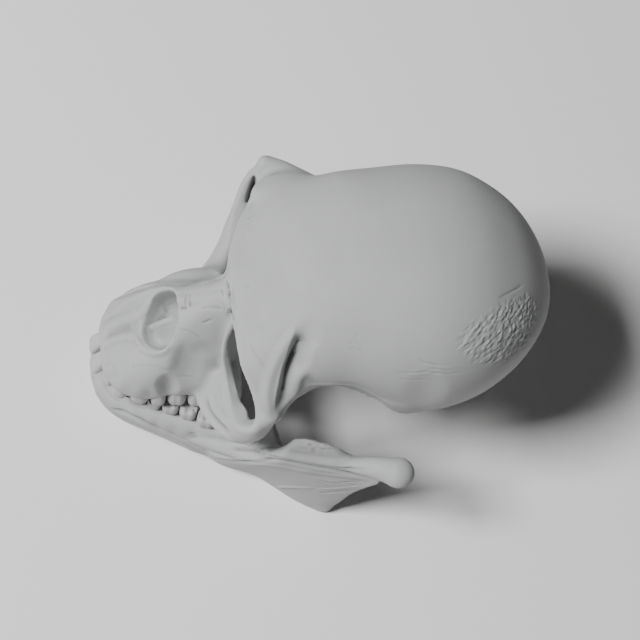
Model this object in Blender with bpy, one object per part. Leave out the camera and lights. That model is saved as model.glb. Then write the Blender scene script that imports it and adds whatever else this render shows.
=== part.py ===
"""Fossil ape skull: cranium, mandible and thirty-two teeth.

The design frame is in millimetres. Its origin is the nasion, the root of the nose between the orbits.
+X is the skull's left, +Y its back and +Z up, with the teeth's biting plane level.
"""

import math

import bmesh
import bpy
from mathutils import Matrix, Vector

MM = 0.001

# Driving dimensions, in millimetres
BONE_GRAIN = 0.9  # size of the cells in which overlapping masses grow together
VAULT_WALL = 3.4
VOID_START = 14.5
VOID_END = 101.5  # how far back the hollow of the braincase runs
UPPER_NECK_Z = -46.5
LOWER_NECK_Z = -60.5
UPPER_CROWN = -6.8  # height of a crown from neck to biting edge, with its sign
LOWER_CROWN = 6.6
TOOTH_GAP = 0.3
TOOTH_CLEARANCE = 0.02  # left between two sockets
BASE_Z = -86.0  # the level on which the chin and the jaw's angles stand
GROUND_BLOCK = (160, 140, 30)
RIGHT_SHARE = 0.93  # the jaw's left half was pressed outwards, its right half keeps this share of that width

# How finely things are drawn
RING = 28  # points round a lofted section
TUBE_RING = 12
STEPS = 5  # sections between two stations of a loft
SNOUT_STEPS = 3
ROW_STEPS = 12
TOOTH_SIDES = 8
CRANIUM_SHARE = 0.021  # share of the skin's faces that the finished bone keeps
MANDIBLE_SHARE = 0.023
CRANIUM_SOFTENING = 9
VOID_SOFTENING = 2
MANDIBLE_SOFTENING = 6
EDGE_POWER = 0.7  # below 1 squares off the edges of a band
VAULT_POWER = 0.86  # below 1 gives the braincase fuller flanks

# Surfaces: base colour and roughness
BONE_LOOK = ((0.42, 0.42, 0.42), 0.75)
ENAMEL_LOOK = ((0.45, 0.45, 0.45), 0.55)

# Braincase: station y, centre x, half width, top z, widest z, bottom z
VAULT = (
    (3, -0.5, 10, 2.0, -3, -7),
    (8, -1.5, 20, 6.5, -3, -9),
    (15, -3.5, 28, 10.5, -3, -12),
    (24, -3.8, 33.6, 15, -7, -20),
    (36, -4.0, 35.6, 19.5, -8, -33),
    (50, -2.4, 38.3, 22.5, -10, -40),
    (64, -1.7, 40.0, 23.0, -12, -42),
    (78, -2.1, 37.4, 20.0, -12, -41),
    (90, -2.2, 30.6, 13.5, -12, -37),
    (98, -2.2, 23, 6.5, -13, -32),
    (103.5, -1.8, 14.5, -1.5, -14, -27),
    (106.2, -1.4, 6, -8.5, -14.5, -20),
)

# Broken lower border of the braincase, once round, from the left temple over the back to the front
BASE_BREAK = (
    (31, 21, -18), (34, 30, -19), (36, 39, -18.5), (40, 47, -20), (44, 54, -26), (44, 61, -24.5),
    (43, 67, -27.5), (39, 75, -29), (32, 84, -34), (22, 88, -34), (11, 92, -37.5), (-3, 92, -36),
    (-15, 90, -38.5), (-28, 84, -36), (-40, 75, -36), (-46, 65, -31.5), (-48, 56, -31), (-47, 46, -27),
    (-45, 35, -26), (-38, 25, -22), (-26, 19, -20), (-12, 17, -20), (4, 17, -19), (18, 18, -19),
)
BREAK_DEPTH = 40

# Flared roots of the lost arches: wall on the braincase and the border that stands off it
TEMPLE_WALL = ((28.5, 38, -11), (33, 46, -11), (35.4, 54, -12), (35.8, 63, -13), (33, 75, -15))
TEMPLE_EDGE = ((27.4, 39, -22), (32.2, 48, -24), (36, 55.5, -27.5), (33.6, 65, -29.5), (30.6, 77, -34))
TEMPLE_THICKNESS = (3.4, 4.0, 4.4, 4.2, 3.4)
RIGHT_TEMPLE_SHIFT = -4.5

# Snout: station y, then the half section from the roof over the flank to the palate
SNOUT = (
    (-40, ((0, -43.2), (4, -43.4), (6.8, -44.4), (7.8, -46), (6.4, -47.3), (0, -47.6))),
    (-36.5, ((0, -39.2), (6.5, -39.4), (12, -41.8), (14.4, -45), (12.5, -47.6), (0, -47.8))),
    (-31, ((0, -33.6), (7.5, -32.6), (14.4, -36), (17.8, -43.5), (16.6, -47.6), (0, -47))),
    (-25, ((0, -27.5), (9, -24.6), (16.4, -32), (19.2, -42.5), (18.4, -47.6), (0, -46))),
    (-18, ((0, -14.2), (7.4, -15.6), (16, -28), (20.2, -41.5), (19.8, -47.6), (0, -45))),
    (-11, ((0, -8), (5.6, -9.6), (16.8, -26.5), (21.6, -40), (21.2, -47.6), (0, -44))),
    (-4, ((0, -2.6), (5.6, -5.4), (18.4, -27.5), (23.4, -38), (22.4, -47.6), (0, -44))),
    (1.5, ((0, 0), (5, -4.4), (17.6, -30), (22.5, -38), (22.4, -47.6), (0, -44))),
    (5.5, ((0, -8), (5, -12), (14, -32), (20.5, -38), (21, -47), (0, -44))),
)

# Nasal opening in the snout's sloping front, once round from its top, and the shape of its recess
NOSE_EDGE = (
    (-1, -17, -13.5), (5, -18.5, -16.5), (8, -22, -22), (7.5, -25, -27), (4, -26.5, -30), (-0.5, -27, -31),
    (-6, -26.5, -30), (-10, -25, -27), (-10.5, -21.5, -22), (-7, -18, -16.5),
)
NOSE_INWARD = (0.6, 7, -3.5)
NOSE_FUNNEL = ((-0.8, 1.05), (0, 0.97), (0.6, 0.85), (1, 0.6))

# Orbit margins, once round from the nose over the brow; crushing has set the right side back
LEFT_MARGIN = (
    (8, 1.9, -4), (15.5, 2.3, -2.3), (23.5, 3.0, -3), (31, 5.8, -7), (38, 7.2, -11), (41, 5.4, -15.5),
    (37.5, 2.0, -22), (30.5, 1.2, -27.5), (22, 0.8, -30.5), (14, 0, -29.5), (8.8, -0.4, -23),
    (7.4, 0.8, -12),
)
RIGHT_MARGIN = (
    (-6.5, 0.8, -4), (-14, 2.8, -2.3), (-23.5, 6.4, -3), (-32, 11, -6.5), (-41, 15, -9.5),
    (-46.3, 14.5, -13), (-43.5, 12.2, -18), (-37, 9.2, -23), (-29, 5.4, -27.5), (-20, 1.0, -29),
    (-11, -1.6, -24), (-7, -0.4, -13),
)
RIM_RADII = (1.8, 1.8, 1.8, 1.8, 1.9, 2.2, 2.7, 2.8, 2.7, 2.5, 2.2, 2.0)
LEFT_APEX = (13, 26, -18)
RIGHT_APEX = (-18, 29, -18)
ORBIT_FUNNEL = ((-0.45, 1.02), (-0.1, 0.93), (0.1, 0.88), (0.4, 0.74), (0.75, 0.5), (1.0, 0.25))

# Forehead shelf behind the brow, sunk into the vault along its back edge
BROW_BACK = (
    (35.5, 17, -11), (26, 22, 0), (17, 26, 7.4), (8, 28, 11.4), (-2, 28, 12.8),
    (-12, 28, 12.2), (-24, 30, 8), (-35.5, 31, 0.5), (-41, 33, -8),
)
BROW_THICKNESS = (4.6, 5, 5.4, 6, 6.4, 6, 5.4, 5, 4.6)
GLABELLA = ((0, 1.5, -2), (7, 3.5, 4))

# Outer pillars of the orbits, the ridge behind the right one, and the wall between the orbits
LEFT_PILLAR = ((38.4, 10, -9), (39.8, 9, -16), (38.6, 9, -27))
RIGHT_PILLAR = ((-47, 17.5, -7.5), (-47.2, 16.5, -15), (-44, 15, -27))
PILLAR_RADII = (3.4, 2.9, 3.2)
RIGHT_TEMPLE_RIDGE = ((-47, 15.5, -7.5), (-45.2, 22, -8), (-41.6, 30, -9), (-37.6, 37, -10))
RIDGE_RADII = (2.6, 3, 2.8, 2)
WALL_TOP = ((0, 1, -1), (0, 9, -1), (0, 17, -5))
WALL_FOOT = ((0, 2, -38), (0, 9, -30), (0, 16, -16))
WALL_THICKNESS = (9, 7, 5)

# Cheeks: lower borders from above the first molar to the stump of the broken arch
LEFT_CHEEK = (
    (19.5, -9.3, -44), (27.8, -7.6, -40.5), (34.5, -4, -38.5), (39, 2, -37.5), (40, 10, -32),
    (39.5, 14.5, -23),
)
RIGHT_CHEEK = (
    (-20.5, -5.5, -44), (-30, 3.5, -40), (-37.5, 8.5, -37), (-42, 13, -34), (-45, 16, -27),
    (-46.5, 17.5, -18),
)
CHEEK_RIM = (9, 8, 7, 6, 5, 4)  # the points of a margin from which the cheek hangs
CHEEK_THICKNESS = (8, 7.5, 7.5, 8, 7.5, 5)
LEFT_CHEEK_ROOT = ((15, -2.5, -32), (8, 6, 8.5))
RIGHT_CHEEK_ROOT = ((-15, -1.5, -32), (8, 6, 8.5))

# Hollows under the face
PALATE = ((0, -13, -48.5), (10, 23, 8))
THROAT = ((0, 6, -31), (10.5, 12, 11))

# Mandible, left half: outer upper edge and outer base from the chin to the start of the ramus
JAW_CREST = (
    (-1, -39, -61), (6, -38, -61), (11.5, -34.5, -61), (15.8, -28.5, -61), (18.6, -21, -60.6),
    (21.4, -12, -60.2), (24.6, -3, -59.5), (29, 6, -56), (33, 13, -52),
)
JAW_BASE = (
    (-1, -34.5, -87), (6, -33.5, -86.5), (11, -29.5, -84.5), (15, -23.5, -83), (19.4, -16.5, -82.5),
    (25, -7, -83), (31, 3, -84), (36.5, 12, -85.5), (41, 19, -86.5),
)
JAW_THICKNESS = (12, 12, 11, 10.5, 10.5, 11, 11, 8.5, 5)
RAMUS_TOP = (
    (25, -4, -62), (30, 2, -57), (36, 9, -45), (41.5, 16, -33), (42.3, 22, -27.5), (44, 29, -28.5),
    (46.5, 37, -34), (49, 45, -35), (52, 53, -36),
)
RAMUS_FOOT = (
    (27, -5, -81), (32, 1, -83), (37, 12, -85.5), (42.4, 19, -87), (47, 26, -88), (50.5, 32.5, -87.5),
    (51.5, 39, -80), (51.5, 44, -64), (53.5, 51, -44),
)
RAMUS_THICKNESS = (7, 9, 7.5, 5.5, 4.8, 4.6, 4.6, 5, 6)
CONDYLE = ((46, 30, -38), (49.5, 38, -35), (51.5, 46, -34), (54, 53, -33.5))
CONDYLE_RADII = (1.5, 3.2, 3.9, 5)
CONDYLE_HEAD = (5.2, 5.4, 4.6)

# Teeth from the front backwards: name, width along the row, width across it, kind
UPPER_TEETH = (
    ("central_incisor", 6.6, 5.4, "blade"),
    ("lateral_incisor", 5.0, 4.8, "blade"),
    ("canine", 7.0, 6.4, "point"),
    ("third_premolar", 5.4, 7.6, "crown"),
    ("fourth_premolar", 5.4, 7.8, "crown"),
    ("first_molar", 7.0, 8.4, "crown"),
    ("second_molar", 7.4, 8.8, "crown"),
    ("third_molar", 6.6, 8.2, "crown"),
)
LOWER_TEETH = (
    ("central_incisor", 3.8, 4.8, "blade"),
    ("lateral_incisor", 4.2, 5.0, "blade"),
    ("canine", 6.4, 6.6, "point"),
    ("third_premolar", 6.2, 5.6, "crown"),
    ("fourth_premolar", 5.6, 6.2, "crown"),
    ("first_molar", 7.0, 6.8, "crown"),
    ("second_molar", 7.6, 7.4, "crown"),
    ("third_molar", 7.8, 7.2, "crown"),
)
UPPER_ROW = (
    (0, -38.6), (6, -37.8), (11.6, -33.6), (14.4, -27), (16.2, -19), (17.6, -10), (18.8, -1), (19.4, 8),
)
LOWER_ROW = (
    (0, -36.6), (4.5, -35.8), (9.6, -32.8), (13.8, -27), (16.8, -20), (19.8, -11), (22.6, -2), (25.2, 8),
)
# Height above the neck as a share of the crown, width along and across as shares of the tooth's own
TOOTH_SHAPES = {
    "blade": ((-0.55, 0.5, 0.55), (0.0, 0.8, 0.8), (0.4, 0.96, 0.78), (1.0, 0.98, 0.34)),
    "point": ((-0.6, 0.5, 0.55), (0.0, 0.84, 0.84), (0.4, 0.98, 0.98), (1.0, 0.34, 0.34)),
    "crown": ((-0.6, 0.55, 0.55), (0.0, 0.86, 0.84), (0.5, 0.99, 0.98), (1.0, 0.84, 0.76)),
}
OUTWARD_LEAN = {
    "upper": {"blade": 4.0, "point": 1.6, "crown": 0.4},
    "lower": {"blade": 0.8, "point": 0.4, "crown": 0.2},
}


def catmull(points, steps, closed=False):
    """Points of a smooth curve through the given points."""
    pts = [Vector(p) for p in points]
    count = len(pts)
    spans = count if closed else count - 1
    curve = []
    for i in range(spans):
        p1, p2 = pts[i], pts[(i + 1) % count]
        p0 = pts[i - 1] if closed or i else p1 * 2 - p2
        p3 = pts[(i + 2) % count] if closed or i + 2 < count else p2 * 2 - p1
        for k in range(steps):
            t = k / steps
            curve.append(
                0.5 * ((p1 * 2) + (p2 - p0) * t + (p0 * 2 - p1 * 5 + p2 * 4 - p3) * t * t
                       + (p1 * 3 - p0 - p2 * 3 + p3) * t * t * t))
    if not closed:
        curve.append(pts[-1])
    return curve


def smooth_numbers(numbers, steps):
    return [v.x for v in catmull([(n, 0, 0) for n in numbers], steps)]


def mirrored(points, share=1.0):
    """The points on the other side of the midline, at a share of their distance from it."""
    return [(-x * share, *rest) for x, *rest in points]


def skin_rings(bm, rings):
    """Joins closed rings of equal length into one closed shell, with a fan over each end."""
    loops = [[bm.verts.new(point * MM) for point in ring] for ring in rings]
    count = len(loops[0])
    for first, second in zip(loops, loops[1:]):
        for i in range(count):
            j = (i + 1) % count
            bm.faces.new((first[i], first[j], second[j], second[i]))
    for loop, flip in ((loops[0], True), (loops[-1], False)):
        centre = bm.verts.new(sum((v.co for v in loop), Vector()) / count)
        for i in range(count):
            j = (i + 1) % count
            face = (loop[j], loop[i], centre) if flip else (loop[i], loop[j], centre)
            bm.faces.new(face)


def ellipse_ring(centre, across, up, count):
    """Closed ring of points round a centre, with its two half axes."""
    ring = []
    for i in range(count):
        angle = 2 * math.pi * i / count
        ring.append(centre + across * math.cos(angle) + up * math.sin(angle))
    return ring


def add_ball(bm, centre, radii):
    """Ellipsoid mass."""
    place = Matrix.Translation(Vector(centre) * MM) @ Matrix.Diagonal((*(Vector(radii) * MM), 1))
    bmesh.ops.create_icosphere(bm, subdivisions=3, radius=1, matrix=place)


def frames_along(curve):
    """Centre, side and over directions at each point of a curve."""
    frames = []
    for i, centre in enumerate(curve):
        ahead = (curve[min(i + 1, len(curve) - 1)] - curve[max(i - 1, 0)]).normalized()
        side = ahead.cross(Vector((0, 0, 1)))
        if side.length < 0.1:
            side = ahead.cross(Vector((0, 1, 0)))
        side.normalize()
        frames.append((centre, side, side.cross(ahead)))
    return frames


def squared(angle, power):
    """Point of a round outline with squared-off shoulders."""
    c, s = math.cos(angle), math.sin(angle)
    return math.copysign(abs(c) ** power, c), math.copysign(abs(s) ** power, s)


def add_tube(bm, points, radii):
    """Round mass along a smooth curve; radii gives the radius at each of its points."""
    sizes = smooth_numbers(radii, STEPS)
    rings = []
    for size, (centre, side, over) in zip(sizes, frames_along(catmull(points, STEPS))):
        rings.append(ellipse_ring(centre, side * size, over * size, TUBE_RING))
    skin_rings(bm, rings)


def add_band(bm, upper, lower, thickness):
    """Flat mass between two smooth curves, with rounded edges."""
    tops = catmull(upper, STEPS)
    feet = catmull(lower, STEPS)
    halves = [t / 2 for t in smooth_numbers(thickness, STEPS)]
    rings = []
    last = len(tops) - 1
    for i, (top, foot) in enumerate(zip(tops, feet)):
        after = min(i + 1, last)
        before = max(i - 1, 0)
        ahead = tops[after] + feet[after] - tops[before] - feet[before]
        rise = (top - foot) / 2
        out = ahead.cross(rise).normalized() * halves[i]
        ring = []
        for k in range(RING):
            across, along = squared(2 * math.pi * k / RING, EDGE_POWER)
            ring.append((top + foot) / 2 + out * across + rise * along)
        rings.append(ring)
    skin_rings(bm, rings)


def vault_rings(inset=0.0, first_y=0.0, last_y=math.inf):
    """Egg-shaped sections of the braincase between two places, drawn inwards by inset."""
    plan = catmull([(y, x, width) for y, x, width, *_ in VAULT], STEPS)
    profile = catmull([(top, wide, low) for *_, top, wide, low in VAULT], STEPS)
    rings = []
    for (y, x, width), (top, wide, low) in zip(plan, profile):
        if not first_y <= y <= last_y:
            continue
        half = width - inset
        ring = []
        for i in range(RING):
            across, rise = squared(2 * math.pi * i / RING, VAULT_POWER)
            reach = (top - wide if rise > 0 else wide - low) - inset
            ring.append(Vector((x - half * across, y, wide + reach * rise)))
        rings.append(ring)
    return rings


def add_snout(bm):
    sections = []
    for y, half in SNOUT:
        outline = [Vector((-x, y, z)) for x, z in half]
        outline += [Vector((x, y, z)) for x, z in reversed(half[1:-1])]
        sections.append(catmull(outline, SNOUT_STEPS, closed=True))
    lines = [catmull([section[i] for section in sections], STEPS) for i in range(len(sections[0]))]
    skin_rings(bm, [list(ring) for ring in zip(*lines)])


def add_brow(bm):
    """Forehead shelf from the upper orbit margins back onto the vault."""
    front = (LEFT_MARGIN[4], LEFT_MARGIN[3], LEFT_MARGIN[2], LEFT_MARGIN[1], (0, -0.6, 0),
             RIGHT_MARGIN[1], RIGHT_MARGIN[2], RIGHT_MARGIN[3], RIGHT_MARGIN[4])
    add_band(bm, front, BROW_BACK, BROW_THICKNESS)
    add_ball(bm, *GLABELLA)


def add_cheek(bm, margin, border, root):
    """Orbit rim, the plate of the cheek below it and its root on the snout."""
    add_tube(bm, (*margin, margin[0]), (*RIM_RADII, RIM_RADII[0]))
    add_band(bm, [margin[k] for k in CHEEK_RIM], border, CHEEK_THICKNESS)
    add_ball(bm, *root)


def add_pillars(bm):
    """Outer pillars of the orbits and the wall between the orbits."""
    add_tube(bm, LEFT_PILLAR, PILLAR_RADII)
    add_tube(bm, RIGHT_PILLAR, PILLAR_RADII)
    add_tube(bm, RIGHT_TEMPLE_RIDGE, RIDGE_RADII)
    add_band(bm, WALL_TOP, WALL_FOOT, WALL_THICKNESS)


def add_temple_roots(bm):
    """Flared root of the lost arch above the left ear and its weaker fellow on the right."""
    add_band(bm, TEMPLE_WALL, TEMPLE_EDGE, TEMPLE_THICKNESS)
    wall = [(x + RIGHT_TEMPLE_SHIFT, y, z) for x, y, z in mirrored(TEMPLE_WALL)]
    edge = [(x + RIGHT_TEMPLE_SHIFT, y, z) for x, y, z in mirrored(TEMPLE_EDGE)]
    add_band(bm, wall, edge, TEMPLE_THICKNESS)


def cranium_masses(bm):
    skin_rings(bm, vault_rings())
    add_snout(bm)
    add_brow(bm)
    add_cheek(bm, LEFT_MARGIN, LEFT_CHEEK, LEFT_CHEEK_ROOT)
    add_cheek(bm, RIGHT_MARGIN, RIGHT_CHEEK, RIGHT_CHEEK_ROOT)
    add_pillars(bm)
    add_temple_roots(bm)


def on_side(points, side):
    """The left jaw's points for side 1, their narrower mirror image for side -1."""
    return points if side > 0 else mirrored(points, RIGHT_SHARE)


def mandible_masses(bm):
    for side in (1, -1):
        add_band(bm, on_side(JAW_CREST, side), on_side(JAW_BASE, side), JAW_THICKNESS)
        add_band(bm, on_side(RAMUS_TOP, side), on_side(RAMUS_FOOT, side), RAMUS_THICKNESS)
        add_tube(bm, on_side(CONDYLE, side), CONDYLE_RADII)
        add_ball(bm, on_side(CONDYLE, side)[-1], CONDYLE_HEAD)


def funnel(bm, edge, axis, stages):
    """Hollow that follows an edge line along an axis; each stage has its place and its size."""
    centre = sum(edge, Vector()) / len(edge)
    rings = []
    for along, size in stages:
        rings.append([centre + axis * along + (p - centre) * size for p in edge])
    skin_rings(bm, rings)


def orbit_void(bm, margin, apex):
    centre = sum((Vector(p) for p in margin), Vector()) / len(margin)
    funnel(bm, catmull(margin, 2, closed=True), Vector(apex) - centre, ORBIT_FUNNEL)


def nose_void(bm):
    funnel(bm, catmull(NOSE_EDGE, 2, closed=True), Vector(NOSE_INWARD), NOSE_FUNNEL)


def brain_void(bm):
    skin_rings(bm, vault_rings(VAULT_WALL, VOID_START, VOID_END))


def base_void(bm):
    """Everything below the broken lower border of the braincase."""
    top = [Vector(p) for p in BASE_BREAK]
    skin_rings(bm, [top, [p - Vector((0, 0, BREAK_DEPTH)) for p in top]])


def ground_void(bm):
    """Block under the jaw that leaves the chin and the jaw's angles flat."""
    middle = Vector((0, 0, BASE_Z - GROUND_BLOCK[2] / 2)) * MM
    place = Matrix.Translation(middle) @ Matrix.Diagonal((*(Vector(GROUND_BLOCK) * MM), 1))
    bmesh.ops.create_cube(bm, size=1, matrix=place)


def row_places(row, teeth, side):
    """Centre, direction along the row and outward direction for each tooth."""
    curve = catmull([(x, y, 0) for x, y in row], ROW_STEPS)
    places = []
    start = 0.0
    for _, width, *_ in teeth:
        wanted = start + width / 2
        walked = 0.0
        for a, b in zip(curve, curve[1:]):
            length = (b - a).length
            if walked + length >= wanted:
                along = (b - a).normalized()
                out = Vector((along.y * side, -along.x * side, 0))
                places.append((a + along * (wanted - walked), along, out))
                break
            walked += length
        start += width
    return places


def tooth_rings(place, tooth, jaw, neck_z, height, grow=0.0):
    """Rings of one tooth from its root to its biting edge; grow widens it for its socket."""
    centre, along, out = place
    _, width, depth, kind = tooth
    rings = []
    for share, wide, deep in TOOTH_SHAPES[kind]:
        z = neck_z + height * share
        if grow and share < 0:
            z -= math.copysign(grow, height)
        middle = Vector((centre.x, centre.y, z)) + out * (OUTWARD_LEAN[jaw][kind] * share)
        half_wide = min((width - TOOTH_GAP) / 2 * wide + grow, width / 2 - TOOTH_CLEARANCE)
        half_deep = depth / 2 * deep + grow
        ring = []
        for k in range(TOOTH_SIDES):
            angle = 2 * math.pi * (k + 0.5) / TOOTH_SIDES
            ring.append(middle + along * (half_wide * math.cos(angle)) + out * (half_deep * math.sin(angle)))
        rings.append(ring)
    return rings


def new_material(name, look):
    colour, roughness = look
    material = bpy.data.materials.new(name)
    material.use_nodes = True
    shader = material.node_tree.nodes["Principled BSDF"]
    shader.inputs["Base Color"].default_value = (*colour, 1)
    shader.inputs["Roughness"].default_value = roughness
    shader.inputs["Metallic"].default_value = 0
    return material


def object_from(name, build, look=None):
    """Object whose mesh is filled by the build function; what shows has a material of its own."""
    mesh = bpy.data.meshes.new(name)
    bm = bmesh.new()
    build(bm)
    bmesh.ops.recalc_face_normals(bm, faces=bm.faces)
    bm.to_mesh(mesh)
    bm.free()
    mesh.shade_smooth()
    obj = bpy.data.objects.new(name, mesh)
    bpy.context.collection.objects.link(obj)
    if look:
        mesh.materials.append(new_material(f"{name}_surface", look))
    return obj


def cut_away(bone, name, build):
    """Takes a hidden guide shape away from a bone."""
    cutter = object_from(name, build)
    cutter.display_type = "WIRE"
    cutter.hide_render = True
    cut = bone.modifiers.new(name, "BOOLEAN")
    cut.operation = "DIFFERENCE"
    cut.solver = "EXACT"
    cut.object = cutter


def grow_together(bone, softening):
    """Fuses overlapping masses into one skin and softens it."""
    remesh = bone.modifiers.new("grow_together", "REMESH")
    remesh.mode = "VOXEL"
    remesh.voxel_size = BONE_GRAIN * MM
    remesh.adaptivity = 0
    remesh.use_smooth_shade = True
    smooth = bone.modifiers.new("soften", "SMOOTH")
    smooth.factor = 0.5
    smooth.iterations = softening


def thin_out(bone, share):
    decimate = bone.modifiers.new("thin_out", "DECIMATE")
    decimate.ratio = share


def build_cranium():
    cranium = object_from("cranium", cranium_masses, BONE_LOOK)
    grow_together(cranium, CRANIUM_SOFTENING)
    cut_away(cranium, "left_orbit_void", lambda bm: orbit_void(bm, LEFT_MARGIN, LEFT_APEX))
    cut_away(cranium, "right_orbit_void", lambda bm: orbit_void(bm, RIGHT_MARGIN, RIGHT_APEX))
    cut_away(cranium, "brain_void", brain_void)
    cut_away(cranium, "base_void", base_void)
    cut_away(cranium, "nose_void", nose_void)
    cut_away(cranium, "palate_void", lambda bm: add_ball(bm, *PALATE))
    cut_away(cranium, "throat_void", lambda bm: add_ball(bm, *THROAT))
    grow_together(cranium, VOID_SOFTENING)
    thin_out(cranium, CRANIUM_SHARE)
    return cranium


def build_mandible():
    mandible = object_from("mandible", mandible_masses, BONE_LOOK)
    grow_together(mandible, MANDIBLE_SOFTENING)
    thin_out(mandible, MANDIBLE_SHARE)
    cut_away(mandible, "ground_void", ground_void)
    return mandible


def build_teeth(jaw, bone, rows, teeth, neck_z, height):
    """Teeth of one jaw, both sides, and their sockets."""
    sockets = []
    for side, side_name in ((1, "left"), (-1, "right")):
        for place, tooth in zip(row_places(rows[side], teeth, side), teeth):
            rings = tooth_rings(place, tooth, jaw, neck_z, height)
            sockets.append(tooth_rings(place, tooth, jaw, neck_z, height, TOOTH_GAP))
            object_from(f"{jaw}_{side_name}_{tooth[0]}", lambda bm, r=rings: skin_rings(bm, r), ENAMEL_LOOK)
    cut_away(bone, f"{jaw}_sockets", lambda bm: [skin_rings(bm, rings) for rings in sockets])


def stand_on_ground(bones):
    """Hangs everything on an empty that puts the skull's middle over the origin and its base on z = 0."""
    graph = bpy.context.evaluated_depsgraph_get()
    corners = []
    for bone in bones:
        corners += [Vector(v.co) for v in bone.evaluated_get(graph).data.vertices]
    low = Vector([min(c[i] for c in corners) for i in range(3)])
    high = Vector([max(c[i] for c in corners) for i in range(3)])
    skull = bpy.data.objects.new("skull", None)
    bpy.context.collection.objects.link(skull)
    for obj in list(bpy.data.objects):
        if obj != skull:
            obj.parent = skull
    skull.location = (-(low.x + high.x) / 2, -(low.y + high.y) / 2, -low.z)


def main():
    for obj in list(bpy.data.objects):
        bpy.data.objects.remove(obj)
    cranium = build_cranium()
    mandible = build_mandible()
    upper_rows = {1: UPPER_ROW, -1: mirrored(UPPER_ROW)}
    lower_rows = {1: LOWER_ROW, -1: on_side(LOWER_ROW, -1)}
    build_teeth("upper", cranium, upper_rows, UPPER_TEETH, UPPER_NECK_Z, UPPER_CROWN)
    build_teeth("lower", mandible, lower_rows, LOWER_TEETH, LOWER_NECK_Z, LOWER_CROWN)
    stand_on_ground((cranium, mandible))


main()
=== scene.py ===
import math

import bmesh
import bpy
import numpy as np
from mathutils import Matrix, Vector
from mathutils.bvhtree import BVHTree


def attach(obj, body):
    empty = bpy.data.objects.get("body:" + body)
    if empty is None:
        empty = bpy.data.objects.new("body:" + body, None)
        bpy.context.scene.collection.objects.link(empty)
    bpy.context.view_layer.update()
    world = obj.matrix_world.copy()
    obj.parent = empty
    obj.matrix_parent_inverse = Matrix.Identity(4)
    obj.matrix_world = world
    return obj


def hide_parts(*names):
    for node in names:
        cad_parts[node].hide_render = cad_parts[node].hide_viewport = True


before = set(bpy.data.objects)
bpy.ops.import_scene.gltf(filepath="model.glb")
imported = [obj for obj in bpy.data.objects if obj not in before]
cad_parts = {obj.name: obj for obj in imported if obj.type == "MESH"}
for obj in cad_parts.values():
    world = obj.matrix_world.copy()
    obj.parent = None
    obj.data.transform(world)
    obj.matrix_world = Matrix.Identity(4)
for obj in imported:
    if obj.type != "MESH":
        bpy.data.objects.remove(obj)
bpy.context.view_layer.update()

# The design frame is in millimetres, with its origin at the nasion: +X is the skull's left, +Y its back.
MM = 0.001
TO_ROW = np.array((-1.98, -31.45, 86.0))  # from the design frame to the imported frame

# How finely things are drawn
ROUGH_GRAIN = 0.7  # cells in which overlapping masses grow together, in millimetres
FINE_GRAIN = 0.5  # cells in which the bones are drawn before they are sculpted
CRANIUM_SOFTENING = (9, 2)  # smoothing steps after the masses have grown together, and after the cuts
MANDIBLE_SOFTENING = (6, 1)
SOFTENING_FACTOR = 0.5
RING = 56  # points round a section
TUBE_RING = 20
STEPS = 8  # points of a smooth curve from one given point to the next
SNOUT_STEPS = 5
RIM_STEPS = 4
BASE_STEPS = 6
BALL_DIVISIONS = 5
NEARLY_UPRIGHT = 0.1  # length of the level side direction below which a curve counts as upright
EDGE_POWER = 0.7  # 1 gives a round section, and a smaller power a squarer one
VAULT_POWER = 0.86
MOST_FACES = 190000  # triangles that a finished bone may keep
# Painted shade in the bones' hollows: smoothing steps by which the depth of a hollow is measured
PAINTED_SHADE_STEPS = 24
PAINTED_SHADE_DEPTH = 0.4  # depth below its surroundings, in millimetres, at which a hollow's painted shade is darkest

# The photograph's camera: its place, the direction back towards it, and the picture's right and up
EYE = np.array((185.829, -53.166, 478.609))
TOWARDS_EYE = np.array((0.33780931, -0.15643447, 0.92812345))
PICTURE_RIGHT = np.array((0.11077081, 0.9858461, 0.1258463))
PICTURE_UP = np.array((-0.93467358, 0.06029693, 0.35036636))
FIELD_OF_VIEW = math.radians(22)
FRAME_PIXELS = 640
FOCAL_PIXELS = FRAME_PIXELS / 2 / math.tan(FIELD_OF_VIEW / 2)

# Braincase: station y, centre x, half width, top z, widest z, bottom z
VAULT = (
    (3, -0.5, 10, 2.0, -3, -7),
    (8, -1.5, 20, 6.5, -3, -9),
    (15, -3.5, 28, 10.5, -3, -12),
    (24, -3.8, 33.6, 15, -7, -20),
    (36, -4.0, 35.6, 19.5, -8, -33),
    (50, -2.4, 38.3, 22.5, -10, -40),
    (64, -1.7, 40.0, 23.0, -12, -42),
    (78, -2.1, 37.4, 20.0, -12, -41),
    (90, -2.2, 30.6, 13.5, -12, -37),
    (98, -2.2, 23, 6.5, -13, -32),
    (103.5, -1.8, 14.5, -1.5, -14, -27),
    (106.2, -1.4, 6, -8.5, -14.5, -20),
)
VAULT_WALL = 3.4  # thickness
VOID_START = 14.5
VOID_END = 101.5
# The broken lower border of the braincase, once round
BASE_BREAK = (
    (31, 21, -17.6), (34, 30, -18.4), (36, 39, -18), (40, 47, -19.2), (44, 54, -24.6), (44, 61, -24),
    (43, 67, -27.5), (39, 75, -29), (32, 84, -34), (22, 88, -34), (11, 92, -37.5), (-3, 92, -36),
    (-15, 90, -38.5), (-28, 84, -36), (-40, 75, -36), (-46, 65, -31.5), (-48, 56, -31), (-47, 46, -27),
    (-45, 35, -26), (-38, 25, -22), (-26, 19, -20), (-12, 17, -20), (4, 17, -19), (18, 18, -19),
)
BREAK_DEPTH = 40
NICKS = (0.5, 1.7, 0.61)  # depth of the nicks along that border, and how fast their two waves turn
SMALL_NICKS = (0.35, 2.9, 1)  # depth, turning and start of a third wave
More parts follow.
